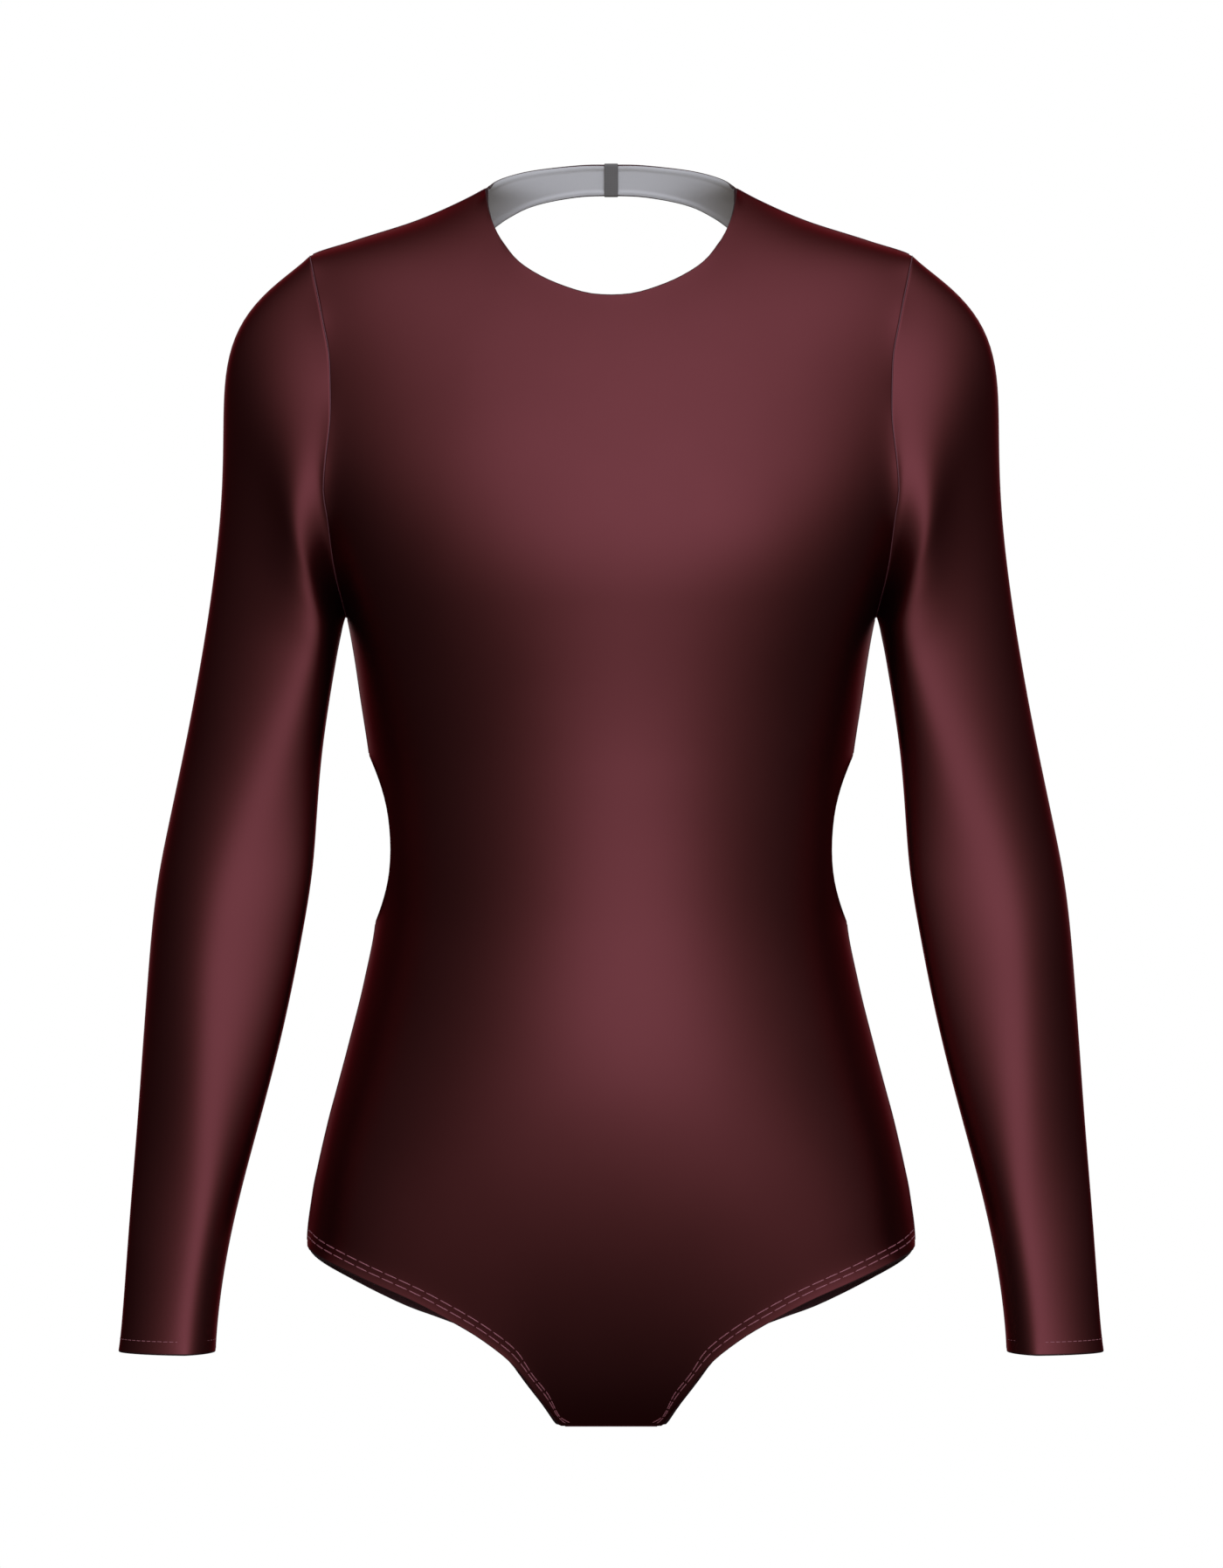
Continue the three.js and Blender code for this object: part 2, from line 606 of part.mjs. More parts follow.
function neckClosure(material) {
  const top = onFigure(BACK, 0, NECK_BAND_TOP);
  const foot = onFigure(BACK, 0, NECK_BAND_FOOT);
  const up = top.clone().sub(foot);
  const holeHeight = up.length() + 2 * CLOSURE.clearance;
  const holeThickness = WALL + 2 * CLOSURE.clearance;
  const { wall, corner, width } = CLOSURE;
  const loop = roundedRectangle(new THREE.Shape(), holeThickness + 2 * wall, holeHeight + 2 * wall, corner);
  loop.holes.push(roundedRectangle(new THREE.Path(), holeThickness, holeHeight, corner - wall));
  const settings = { depth: width, bevelEnabled: false, curveSegments: 3 };
  const geometry = new THREE.ExtrudeGeometry(loop, settings);
  geometry.translate(0, 0, -width / 2);
  up.normalize();
  const outward = new THREE.Vector3(0, up.z, -up.y);
  const mesh = new THREE.Mesh(geometry, material);
  const basis = new THREE.Matrix4().makeBasis(outward, up, new THREE.Vector3(1, 0, 0));
  mesh.quaternion.setFromRotationMatrix(basis);
  mesh.position.copy(top.add(foot).multiplyScalar(0.5)).addScaledVector(outward, -WALL / 2);
  return mesh;
}

const CLOTH_LOOK = { color: 0x5e3034, metalness: 0.6, roughness: 0.4 };
const clothMaterial = () => new THREE.MeshStandardMaterial(CLOTH_LOOK);
const closureMaterial = new THREE.MeshStandardMaterial({ color: 0x565354, metalness: 0, roughness: 0.7 });

function named(name, mesh) {
  mesh.name = name;
  return mesh;
}

const leotard = new THREE.Group();
leotard.add(named('front', new THREE.Mesh(frontPanel(), clothMaterial())));
leotard.add(named('back_lower', new THREE.Mesh(seatPanel(), clothMaterial())));
const blade = bladePanel();
leotard.add(named('back_upper_right', new THREE.Mesh(blade, clothMaterial())));
leotard.add(named('back_upper_left', new THREE.Mesh(mirrorGeometry(blade), clothMaterial())));
const arm = sleeve();
leotard.add(named('sleeve_right', new THREE.Mesh(arm, clothMaterial())));
leotard.add(named('sleeve_left', new THREE.Mesh(mirrorGeometry(arm), clothMaterial())));
leotard.add(named('neck_closure', neckClosure(closureMaterial)));

export default leotard;
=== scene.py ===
# %% [markdown]
# # A worn leotard with a wide open back
#
# A dancer's leotard is cut from four-way stretch cloth: burgundy foil outside, matte grey knit
# inside. This one is shown filled out, as when it is worn, with nobody in it. Each piece of the
# cutting pattern is made here as its own sheet of cloth, in the order in which a maker would sew
# them, and then come the seams, the hem stitches and the small closure behind the neck.
#
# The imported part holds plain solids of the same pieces. It is loaded first, because every piece
# made here has to lie where its solid lies.

import math

import bpy
import numpy as np
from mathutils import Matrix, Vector
from mathutils.bvhtree import BVHTree


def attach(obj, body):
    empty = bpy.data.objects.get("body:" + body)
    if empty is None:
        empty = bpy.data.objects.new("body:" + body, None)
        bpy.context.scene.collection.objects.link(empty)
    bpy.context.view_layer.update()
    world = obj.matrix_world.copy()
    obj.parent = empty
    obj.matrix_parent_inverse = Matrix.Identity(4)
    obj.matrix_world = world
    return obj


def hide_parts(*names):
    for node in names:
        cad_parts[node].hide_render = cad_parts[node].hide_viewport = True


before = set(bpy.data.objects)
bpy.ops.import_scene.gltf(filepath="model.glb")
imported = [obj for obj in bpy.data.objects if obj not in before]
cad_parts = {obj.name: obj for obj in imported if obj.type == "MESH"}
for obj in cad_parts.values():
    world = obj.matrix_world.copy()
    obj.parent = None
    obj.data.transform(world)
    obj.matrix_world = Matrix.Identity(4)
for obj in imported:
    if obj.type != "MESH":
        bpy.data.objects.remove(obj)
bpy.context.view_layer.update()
print("packed solids:", ", ".join(sorted(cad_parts)))

# %% [markdown]
# ## Sizes
#
# The solids were made from a few short tables: level sections of a general figure that fills the
# garment, and the heights and widths of the cut edges on it. The same tables are repeated here,
# so that the cloth follows the solids. They are in millimetres, which is how a maker measures,
# and are turned into metres when a mesh is made. The front faces -Y and the right of a front
# view is +X.

# %% Heights of the points where seams and cut edges meet
MM = 0.001
NECK_POINT = 18.8
SHOULDER_POINT = -18.3
UNDERARM = -212.9
OPENING_TOP = -287.0
OPENING_BOTTOM = -376.5
LEG_TOP = -549.0
CROTCH = -648.0
HIP_ROW = -470.0
CROTCH_HALF_WIDTH = 27.0
OPENING_FORWARD_TURN = 20.0
FRONT, BACK = -1, 1
print("neck point to crotch:", NECK_POINT - CROTCH, "mm")

# %% The general figure: height, half width, depth in front, depth behind, fullness in front
FRONT_ROUNDNESS = 2.0
BACK_ROUNDNESS = 2.4
FIGURE = [
    (36, 66, 12, 50, 2.4), (18.8, 66.3, 14, 53, 2.4), (17.8, 68.1, 14.4, 53.2, 2.4), (12, 79, 17, 54, 2.4),
    (1, 104, 25, 56, 2.4), (-10.3, 139, 33, 59, 2.4), (-18.3, 161.9, 40, 63, 2.2),
    (-36, 176, 53, 74, 1.9), (-60, 188, 68, 85, 1.7), (-90, 189, 85, 94, 1.6),
    (-120, 182, 100, 99, 1.9), (-147, 169, 110, 100, 2.45), (-165, 158.5, 112.8, 99, 2.75),
    (-186, 151.5, 112.2, 96, 2.65), (-212.9, 142.2, 108.2, 91, 2.35), (-235, 138, 104.6, 86, 2),
    (-256, 134.9, 101.2, 81.5, 1.72), (-287, 130.2, 97.5, 76, 1.57), (-320, 126.4, 95, 71.5, 1.5),
    (-350, 125.2, 93.5, 71.5, 1.5), (-376.5, 126.8, 93.3, 76.5, 1.5), (-407, 132.5, 94.3, 87.5, 1.52),
    (-445, 141.9, 95.5, 104, 1.55), (-466, 147.5, 94, 111, 1.62), (-482, 151.8, 91.6, 116, 1.7),
    (-508, 157.8, 86, 120, 1.85), (-522, 160.6, 82.3, 121, 1.92), (-549, 163.6, 73, 119, 2.1),
    (-580, 162, 60, 109, 2.25), (-600, 160, 49.2, 96, 2.3), (-620, 157, 35.6, 76, 2.35),
    (-636, 154, 21, 51, 2.4), (-644, 152, 10, 28, 2.4), (-648, 150, 0, 0, 2.4),
]

# Rays that press cloth on to the figure: how far they lean inwards, and the height they start from
RAY_LEAN = 0.35
RAY_STARTS = [
    (36, 30), (18.8, 8), (5, -60), (-18.3, -110), (-110, -110), (-560, -560), (-648, -560),
]
print("level sections:", len(FIGURE))

# %% The cut edges: distance from the centre line and height, or degrees round and height
ARMHOLE = [
    (-18.3, 161.9), (-54.5, 153.9), (-78, 149.7), (-105, 148.9), (-134, 151.7), (-147, 152.5),
    (-161, 150.6), (-186, 147.8), (-212.9, 142.2),
]
FRONT_NECKLINE = [(67, 12), (62.8, -3.8), (51.2, -22.6), (36.5, -33.4), (19, -40.8), (9, -43.2), (0, -43.7)]
BACK_NECKLINE = [(64.6, 21.5), (57.5, 25.8), (46, 29.8), (28, 33), (14, 34.5)]
NECK_BAND_TOP = 34.8
NECK_BAND_FOOT = 19.6
BAND_LOWER_EDGE = [(16, 19.1), (38.8, 14.9), (47.8, 11.8), (54, 8.6), (59.3, 5.4), (64, 2)]
SHOULDER_INNER_EDGE = [(64, 2), (76, -9), (90, -27), (104, -55)]
BLADE_INNER_EDGE = [(104, -55), (110, -90), (112, -130), (110.5, -175), (111, -213), (115, -243)]
BLADE_TO_SIDE = [(60, -262), (70, -277), (80, -285)]
LOW_BACK_EDGE = [(80, -379), (66, -388), (50, -401), (33, -414), (15, -422.5), (0, -425)]
FRONT_LEG = [
    (149.5, -557.5), (129, -566.5), (104.5, -577), (83, -588.5), (68, -598), (51.5, -612),
    (39.5, -629), (31, -641),
]
BACK_LEG = [
    (146, -570.4), (128, -581.3), (110, -590.3), (95, -596), (76, -604), (55, -619), (40, -632),
    (31, -642),
]
print("armhole depth:", SHOULDER_POINT - UNDERARM, "mm")

# %% The sleeve: outer contour x and z, inner contour x and z, middle in depth, half depth
SLEEVE = [
    (161.9, -18.3, 142.2, -212.9, 0, 42), (180, -30, 142.6, -214.6, 0, 43),
    (197, -46.5, 143, -216.4, 0, 44.5), (206, -65, 143.4, -218.3, 0, 45.5),
    (209.4, -87, 143.8, -220.3, 0, 46), (209.3, -111, 144.2, -222.5, 1, 46),
    (209.5, -136, 144.7, -225, 1, 45.5), (211, -160, 145.3, -228, 2, 45),
    (213.5, -183, 146, -232, 2, 44.5), (216.4, -205, 147, -238, 3, 44),
    (220, -228, 148.5, -247, 3, 43.5), (224, -250.5, 150.6, -260, 4, 43),
    (228, -272, 153, -276, 4, 42.5), (232.2, -292, 155.1, -293, 5, 42),
    (236.4, -312, 156.5, -312, 5, 41.5), (240.4, -331, 157.7, -331, 5, 41),
    (244.3, -350, 159, -350, 4, 40.5), (247, -371, 162.5, -371, 2, 40),
    (248.9, -394, 166.7, -394, 0, 39), (250.5, -418, 171.4, -418, -3, 38),
    (252.1, -443, 177, -443, -6, 36.5), (253.6, -468, 183.5, -468, -9, 34.5),
    (255.2, -493, 190.3, -493, -12, 32), (257.1, -518, 197.2, -518, -15, 29.5),
    (258.8, -543, 203, -543, -18, 27.5), (260.4, -568, 207.6, -568, -20, 26),
    (261.9, -590, 210, -590, -22, 25.2), (263.2, -605, 211.2, -605, -23, 25),
]
CAP_STATIONS = 10

# The front of the sleeve by the height of its outer contour: where it is fullest, from -1 at the
# inner contour to 1 at the outer, how far forward of the middle the inner contour lies, and how
# round the stretch from the fullest place to the outer contour is
SLEEVE_FRONT = [
    (-18, -0.9, 0, 1.6), (-105, -0.9, 8, 1.55), (-163, -0.8, 15, 1.6), (-205, -0.66, 21, 1.6),
    (-257, -0.48, 24, 1.65), (-304, -0.25, 24, 1.75), (-350, 0.0, 24, 1.8), (-394, 0.1, 20, 1.7),
    (-444, 0, 16, 1.55), (-493, -0.2, 10, 1.5), (-531, -0.42, 5, 1.55), (-605, -0.4, 2, 1.65),
]
INNER_FRONT_POWER = 1.7
print("sleeve stations:", len(SLEEVE))

# %% [markdown]
# ## Curves and the figure
#
# A table gives only some heights. Between them the cloth needs a curve that is smooth and never
# swings past its rows, or the waist would ripple. A harmonic mean of the slopes on both sides of
# each row gives such a curve.

# %% A smooth curve through a table
def steady_curve(rows, column):
    """Returns a function of height that passes through one column of a table."""
    knots = sorted((row[0], row[column]) for row in rows)
    x, y = (np.array(part, float) for part in zip(*knots))
    secant = np.diff(y) / np.diff(x)
    slope = np.concatenate([secant[:1], np.zeros(len(x) - 2), secant[-1:]])
    before, after = secant[:-1], secant[1:]
    bends = before * after > 0
    slope[1:-1][bends] = (2 * before * after)[bends] / (before + after)[bends]

    def value(at):
        at = np.clip(at, x[0], x[-1])
        i = np.clip(np.searchsorted(x, at) - 1, 0, len(x) - 2)
        span = x[i + 1] - x[i]
        t = (at - x[i]) / span
        start = y[i] * (1 + 2 * t) * (1 - t) ** 2 + slope[i] * span * t * (1 - t) ** 2
        return start + y[i + 1] * t * t * (3 - 2 * t) + slope[i + 1] * span * t * t * (t - 1)

    return value


half_width = steady_curve(FIGURE, 1)
front_depth = steady_curve(FIGURE, 2)
back_depth = steady_curve(FIGURE, 3)
front_fullness = steady_curve(FIGURE, 4)
ray_start = steady_curve(RAY_STARTS, 1)
armhole_x = steady_curve(ARMHOLE, 1)
print("waist half width:", round(float(half_width(-345)), 1), "mm")

# %% Points on the figure
def depth_of(side, z):
    return np.where(np.asarray(side) < 0, front_depth(z), back_depth(z))


def across_power(side):
    return np.where(np.asarray(side) < 0, FRONT_ROUNDNESS, BACK_ROUNDNESS)


def depth_power(side, z):
    return np.where(np.asarray(side) < 0, front_fullness(z), BACK_ROUNDNESS)


def on_figure(side, marks):
    """Points from (distance from the centre line, height)."""
    x, z = np.array(marks, float).T
    reach = np.minimum(1, np.abs(x) / half_width(z))
    fill = (1 - reach ** across_power(side)) ** (1 / depth_power(side, z))
    return np.stack([x, side * depth_of(side, z) * fill, z], axis=1)


def around_figure(side, marks):
    """Points from (degrees round from the centre line, height), where 90 is the side."""
    degrees, z = np.array(marks, float).T
    turn = np.radians(np.abs(degrees))
    across = np.sign(degrees) * half_width(z) * np.sin(turn) ** (2 / across_power(side))
    deep = np.where(np.abs(degrees) == 90, 0, np.cos(turn)) ** (2 / depth_power(side, z))
    return np.stack([across, side * depth_of(side, z) * deep, z], axis=1)


print("front of the chest:", on_figure(FRONT, [(0, -165)])[0].round(1))

# %% [markdown]
# Cloth between two cut edges is first stretched straight from one to the other, and then pressed
# out on to the figure. Each point moves along a ray from inside the body, and halving the step
# again and again finds where the ray leaves the figure.

# %% Press points on to the figure
def press_to_figure(points):
    points = np.asarray(points, float)
    flat = points.reshape(-1, 3)
    reach = np.minimum(1, np.abs(flat[:, 0]) / half_width(flat[:, 2]))
    inner = np.zeros_like(flat)
    inner[:, 0] = flat[:, 0] * (1 - RAY_LEAN * reach ** 2)
    inner[:, 2] = ray_start(flat[:, 2])
    ray = flat - inner
    near, far = np.full(len(flat), 0.1), np.full(len(flat), 4.0)
    for _ in range(36):
        middle = (near + far) / 2
        trial = inner + ray * middle[:, None]
        side, z = trial[:, 1], trial[:, 2]
        depth = np.maximum(1e-6, depth_of(side, z))
        across = (np.abs(trial[:, 0]) / half_width(z)) ** across_power(side)
        inside = across + (np.abs(side) / depth) ** depth_power(side, z) < 1
        near, far = np.where(inside, middle, near), np.where(inside, far, middle)
    return (inner + ray * near[:, None]).reshape(points.shape)


print("pressed:", press_to_figure([[0, -50, -165]]).round(1))

# %% A smooth line through a few points, with even steps
def length_along(points):
    """The length of a line from its start to each of its points."""
    return np.concatenate([[0], np.cumsum(np.linalg.norm(np.diff(points, axis=0), axis=1))])


def spaced(points, steps):
    length = length_along(points)
    at = np.linspace(0, length[-1], steps + 1)
    return np.stack([np.interp(at, length, points[:, k]) for k in range(3)], axis=1)


def line_through(points, steps):
    points = np.asarray(points, float)
    ends = np.vstack([2 * points[0] - points[1], points, 2 * points[-1] - points[-2]])
    gap = np.sqrt(np.linalg.norm(np.diff(ends, axis=0), axis=1))[:, None]
    pieces = []
    for i in range(1, len(ends) - 2):
        a, b, c, d = ends[i - 1:i + 3]
        g0, g1, g2 = gap[i - 1], gap[i], gap[i + 1]
        leave = g1 * ((b - a) / g0 - (c - a) / (g0 + g1) + (c - b) / g1)
        arrive = g1 * ((c - b) / g1 - (d - b) / (g1 + g2) + (d - c) / g2)
        t = np.linspace(0, 1, 40)[:, None]
        start = b * (1 + 2 * t) * (1 - t) ** 2 + leave * t * (1 - t) ** 2
        pieces.append(start + c * t * t * (3 - 2 * t) + arrive * t * t * (t - 1))
    return spaced(np.vstack(pieces), steps)


def edge_through(points, steps):
    """A cut edge: even steps along a smooth line that lies on the figure."""
    line = line_through(points, steps)
    line[1:-1] = press_to_figure(line[1:-1])
    return line


def side_seam(top, foot, steps):
    """A seam in the plane of the sides and shoulders, which front and back share."""
    z = np.linspace(top, foot, 200)
    return spaced(np.stack([half_width(z), np.zeros_like(z), z], axis=1), steps)


print("side seam of the seat:", len(side_seam(OPENING_BOTTOM, LEG_TOP, 20)), "points")

# %% Edges put together and mirrored
def join(*edges):
    return np.vstack([edges[0]] + [edge[1:] for edge in edges[1:]])


def flipped(edge):
    return edge * np.array([-1, 1, 1])


def mirrored(edge):
    return flipped(edge)[::-1]


def armhole_points(degrees):
    """The armhole seam at angles round the arm: 0 at the shoulder, 180 under the arm."""
    degrees = np.asarray(degrees, float)
    reach = (SHOULDER_POINT - UNDERARM) / 2
    z = (SHOULDER_POINT + UNDERARM) / 2 + reach * np.cos(np.radians(degrees))
    x = armhole_x(z)
    side = np.where(degrees <= 180, FRONT, BACK)
    reach = np.minimum(1, x / half_width(z))
    fill = (1 - reach ** across_power(side)) ** (1 / depth_power(side, z))
    return np.stack([x, side * depth_of(side, z) * fill, z], axis=1)


neck_point = np.array([half_width(NECK_POINT), 0, NECK_POINT])
opening_top = np.array([half_width(OPENING_TOP), 0, OPENING_TOP])
opening_bottom = np.array([half_width(OPENING_BOTTOM), 0, OPENING_BOTTOM])
leg_top = np.array([half_width(LEG_TOP), 0, LEG_TOP])
crotch_corner = np.array([CROTCH_HALF_WIDTH, 0, CROTCH])
print("armhole under the arm:", armhole_points([180])[0].round(1))

# %% [markdown]
# ## A piece of cloth between four edges
#
# A pattern piece has four sides, some of them made of two seams end to end. A Coons patch fills
# the space between them: it blends the two pairs of opposite edges and takes away what was
# counted twice at the corners. The filled points are pressed on to the figure and then relaxed
# a little, as stretch cloth bridges small hollows by itself.

# %% Fill between edges, and relax
def fill_between(top, bottom, start, end):
    v = np.linspace(0, 1, len(start))[:, None, None]
    u = np.linspace(0, 1, len(top))[None, :, None]
    grid = (1 - v) * top[None] + v * bottom[None] + (1 - u) * start[:, None] + u * end[:, None]
    grid -= (1 - u) * (1 - v) * top[0] + u * (1 - v) * top[-1]
    grid -= (1 - u) * v * bottom[0] + u * v * bottom[-1]
    grid[1:-1, 1:-1] = press_to_figure(grid[1:-1, 1:-1])
    return grid


def relax(grid, rounds):
    """Moves each inner point towards the middle of its neighbours, with the edges held."""
    grid = grid.copy()
    for _ in range(rounds):
        around = grid[:-2, 1:-1] + grid[2:, 1:-1] + grid[1:-1, :-2] + grid[1:-1, 2:]
        grid[1:-1, 1:-1] = 0.5 * grid[1:-1, 1:-1] + around / 8
    return grid


# Steps of the grids, and rounds of relaxing
ARMHOLE_STEPS = 48
SHOULDER_STEPS = 24
NECK_STEPS = 24
HALF_COLUMNS = SHOULDER_STEPS + NECK_STEPS
LEG_STEPS = 36
CROTCH_STEPS = 12
RELAX_ROUNDS = 40
shoulder_seam = side_seam(NECK_POINT, SHOULDER_POINT, SHOULDER_STEPS)
half_crotch = np.linspace(CROTCH_HALF_WIDTH, 0, CROTCH_STEPS + 1)
crotch_seam = np.stack([half_crotch, 0 * half_crotch, 0 * half_crotch + CROTCH], axis=1)
print("columns across the front:", 2 * HALF_COLUMNS)

# %% The outward direction at each point of a grid
def unit(vectors):
    return vectors / np.maximum(1e-12, np.linalg.norm(vectors, axis=-1, keepdims=True))


def outward(grid, wraps=False):
    if wraps:
        along = np.roll(grid, -1, axis=1) - np.roll(grid, 1, axis=1)
    else:
        along = np.gradient(grid, axis=1)
    return unit(np.cross(along, np.gradient(grid, axis=0)))


print("normals ready")

# %% [markdown]
# ## A sheet of cloth as a closed shell
#
# Cloth has two faces and an edge. A Solidify modifier could thicken a surface, but a real
# leotard is twice as thick where its edges are turned in, so the shell is built directly: the
# outer grid, an inner grid set in by the thickness there, and a rounded rim between the two. The
# outer and inner faces get their own materials, and a UV map in metres of cloth carries the knit.

# %% Extra lines next to the edges, and distances from an edge
def close_lines(grid, rows=True, columns=True, at=(0.1, 0.3)):
    """Adds lines close to the edges of a grid, so that seams and rims stay crisp."""
    def along_rows(points):
        first = [points[0] + (points[1] - points[0]) * f for f in at]
        last = [points[-1] + (points[-2] - points[-1]) * f for f in reversed(at)]
        return np.concatenate([points[:1], first, points[1:-1], last, points[-1:]])
    grid = along_rows(grid) if rows else grid
    return along_rows(grid.swapaxes(0, 1)).swapaxes(0, 1) if columns else grid


def distance_from(points, edge):
    """The distance of each point from the nearest point of an edge."""
    fine = spaced(edge, 400)
    flat = points.reshape(-1, 3)
    best = [np.linalg.norm(fine - point, axis=1).min() for point in flat]
    return np.array(best).reshape(points.shape[:-1])


def ease(value, low, high):
    """Falls smoothly from 1 at low to 0 at high."""
    t = np.clip((value - low) / (high - low), 0, 1)
    return 1 - t * t * (3 - 2 * t)


CLOTH = 0.9
TURNED = 1.7
SEAM_DIP = 0.35
RIM_STEPS = 6
OUTSIDE, INSIDE, EDGE = 0, 1, 2
print("cloth", CLOTH, "mm thick, and", TURNED, "mm where it is turned in")

# %% Build the shell
def rim_loop(rows, columns, wraps):
    """The grid indices round the edge of a sheet, as one loop, or as two for a tube."""
    if wraps:
        return [[(0, c) for c in range(columns)], [(rows - 1, c) for c in range(columns)][::-1]]
    top = [(0, c) for c in range(columns)]
    right = [(r, columns - 1) for r in range(1, rows)]
    foot = [(rows - 1, c) for c in range(columns - 2, -1, -1)]
    left = [(r, 0) for r in range(rows - 2, 0, -1)]
    return [top + right + foot + left]


def add_object(name, points, faces, materials):
    """A new object from points in millimetres."""
    mesh = bpy.data.meshes.new(name)
    mesh.from_pydata((points * MM).tolist(), [], faces)
    for material in materials:
        mesh.materials.append(material)
    piece = bpy.data.objects.new(name, mesh)
    bpy.context.scene.collection.objects.link(piece)
    return piece


def cloth_sheet(name, grid, thick, roundness, dip, faces, wraps=False, normals=None, hem=None):
    """A closed shell on a grid.

    roundness is 1 where the rim is round and 0 where it is cut flat. dip is how far the outer face
    sinks. hem is true where the turned-in outer cloth shows on the inside."""
    rows, columns = grid.shape[:2]
    hem = np.zeros((rows, columns), bool) if hem is None else hem
    normals = outward(grid, wraps) if normals is None else normals
    outer = grid - normals * dip[..., None]
    inner = grid - normals * thick[..., None]
    points = [outer.reshape(-1, 3), inner.reshape(-1, 3)]
    count = rows * columns
    quads, kinds, corners = [], [], []
    spans = columns if wraps else columns - 1
    for r in range(rows - 1):
        for c in range(spans):
            n = (c + 1) % columns
            a, b, d, e = r * columns + c, r * columns + n, (r + 1) * columns + n, (r + 1) * columns + c
            quads += [(a, b, d, e), (count + e, count + d, count + b, count + a)]
            # Hem faces on the inside, like all rim faces, take the third finish, which on the garment is the
            # foil painted darker as painted shade.
            kinds += [OUTSIDE, EDGE if hem[r, c] and hem[r + 1, n] else INSIDE]
            uv = [(r, c), (r, c + 1), (r + 1, c + 1), (r + 1, c)]
            corners += [uv, uv[::-1]]
    turns = np.linspace(0, math.pi, RIM_STEPS + 1)[1:-1]
    for loop in rim_loop(rows, columns, wraps):
        index = np.array([r * columns + c for r, c in loop])
        here = np.array(loop)
        inside = np.array([(min(max(r, 1), rows - 2), c if wraps else min(max(c, 1), columns - 2))
                           for r, c in loop])
        normal = normals[here[:, 0], here[:, 1]]
        out = grid[here[:, 0], here[:, 1]] - grid[inside[:, 0], inside[:, 1]]
        out = unit(out - normal * (out * normal).sum(axis=1, keepdims=True))
        top = outer[here[:, 0], here[:, 1]]
        low = inner[here[:, 0], here[:, 1]]
        radius = np.linalg.norm(top - low, axis=1, keepdims=True) / 2
        bulge = roundness[here[:, 0], here[:, 1]][:, None]
        lines = [index]
        for turn in turns:
            ring = (top + low) / 2 + radius * (math.cos(turn) * normal + math.sin(turn) * bulge * out)
            lines.append(np.arange(len(ring)) + sum(len(p) for p in points))
            points.append(ring)
        lines.append(index + count)
        for upper, lower in zip(lines[:-1], lines[1:]):
            for k in range(len(loop)):
                m = (k + 1) % len(loop)
                quads.append((upper[m], upper[k], lower[k], lower[m]))
                kinds.append(EDGE)
                corners.append([tuple(here[m]), tuple(here[k]), tuple(here[k]), tuple(here[m])])
    piece = add_object(name, np.vstack(points), [tuple(map(int, q)) for q in quads], faces)
    mesh = piece.data
    mesh.polygons.foreach_set("material_index", kinds)
    mesh.polygons.foreach_set("use_smooth", [True] * len(quads))
    closed = np.concatenate([grid, grid[:, :1]], axis=1) if wraps else grid
    step = lambda axis: np.linalg.norm(np.diff(closed, axis=axis), axis=2)
    across = np.zeros(closed.shape[:2])
    across[:, 1:] = np.cumsum(step(1), axis=1)
    across -= across[:, -1:] / 2
    down = np.zeros(closed.shape[:2])
    down[1:] = np.cumsum(step(0), axis=0)
    layer = mesh.uv_layers.new(name="cloth")
    layer.data.foreach_set("uv", [value * MM for face in corners for r, c in face
                                  for value in (across[r, c], -down[r, c])])
    mesh.validate()
    print(f"{name}: {len(mesh.polygons)} faces, {columns} x {rows} grid")
    return piece


def area_of(piece):
    """The area of the outer face of a piece, in square metres."""
    return sum(p.area for p in piece.data.polygons if p.material_index == OUTSIDE)


# %% [markdown]
# ## Finishes
#
# The outer face is foil printed on a fine knit. Seen from a step away it is a soft dark metal
# with broad highlights, and only close up does the knit break the shine. The knit itself is
# shared by all the cloths, so it is a node group that puts out a height and a thread mask, and
# each material places it with its own stitch size. A second group gives the slow unevenness of
# stretched cloth.

# %% Node helpers
def add_node(tree, kind, **values):
    node = tree.nodes.new(kind)
    for key, value in values.items():
        setattr(node, key, value)
    return node


def maths(tree, operation, *values):
    node = add_node(tree, "ShaderNodeMath", operation=operation)
    for socket, value in zip(node.inputs, values):
        if isinstance(value, (int, float)):
            socket.default_value = value
        else:
            tree.links.new(value, socket)
    return node.outputs[0]


def new_group(name, inputs, outputs):
    group = bpy.data.node_groups.new(name, "ShaderNodeTree")
    for label, kind, value in inputs:
        socket = group.interface.new_socket(label, in_out="INPUT", socket_type=kind)
        if value is not None:
            socket.default_value = value
    for label, kind in outputs:
        group.interface.new_socket(label, in_out="OUTPUT", socket_type=kind)
    return group, group.nodes.new("NodeGroupInput"), group.nodes.new("NodeGroupOutput")


def place_group(tree, group, **values):
    node = add_node(tree, "ShaderNodeGroup", node_tree=group)
    for label, value in values.items():
        node.inputs[label.replace("_", " ")].default_value = value
    return node


# %% Fine knit: columns of small loops
knit, knit_in, knit_out = new_group(
    "fine_knit",
    [("Wale Width", "NodeSocketFloat", 0.0006), ("Course Height", "NodeSocketFloat", 0.0005)],
    [("Height", "NodeSocketFloat"), ("Thread", "NodeSocketFloat")],
)
cloth_place = add_node(knit, "ShaderNodeUVMap", uv_map="cloth")
split = add_node(knit, "ShaderNodeSeparateXYZ")
knit.links.new(cloth_place.outputs["UV"], split.inputs[0])
wale = maths(knit, "DIVIDE", split.outputs["X"], knit_in.outputs["Wale Width"])
course = maths(knit, "DIVIDE", split.outputs["Y"], knit_in.outputs["Course Height"])
slant = maths(knit, "PINGPONG", wale, 0.5)
loop_phase = maths(knit, "ADD", course, slant)
rib = maths(knit, "ABSOLUTE", maths(knit, "SINE", maths(knit, "MULTIPLY", wale, math.pi)))
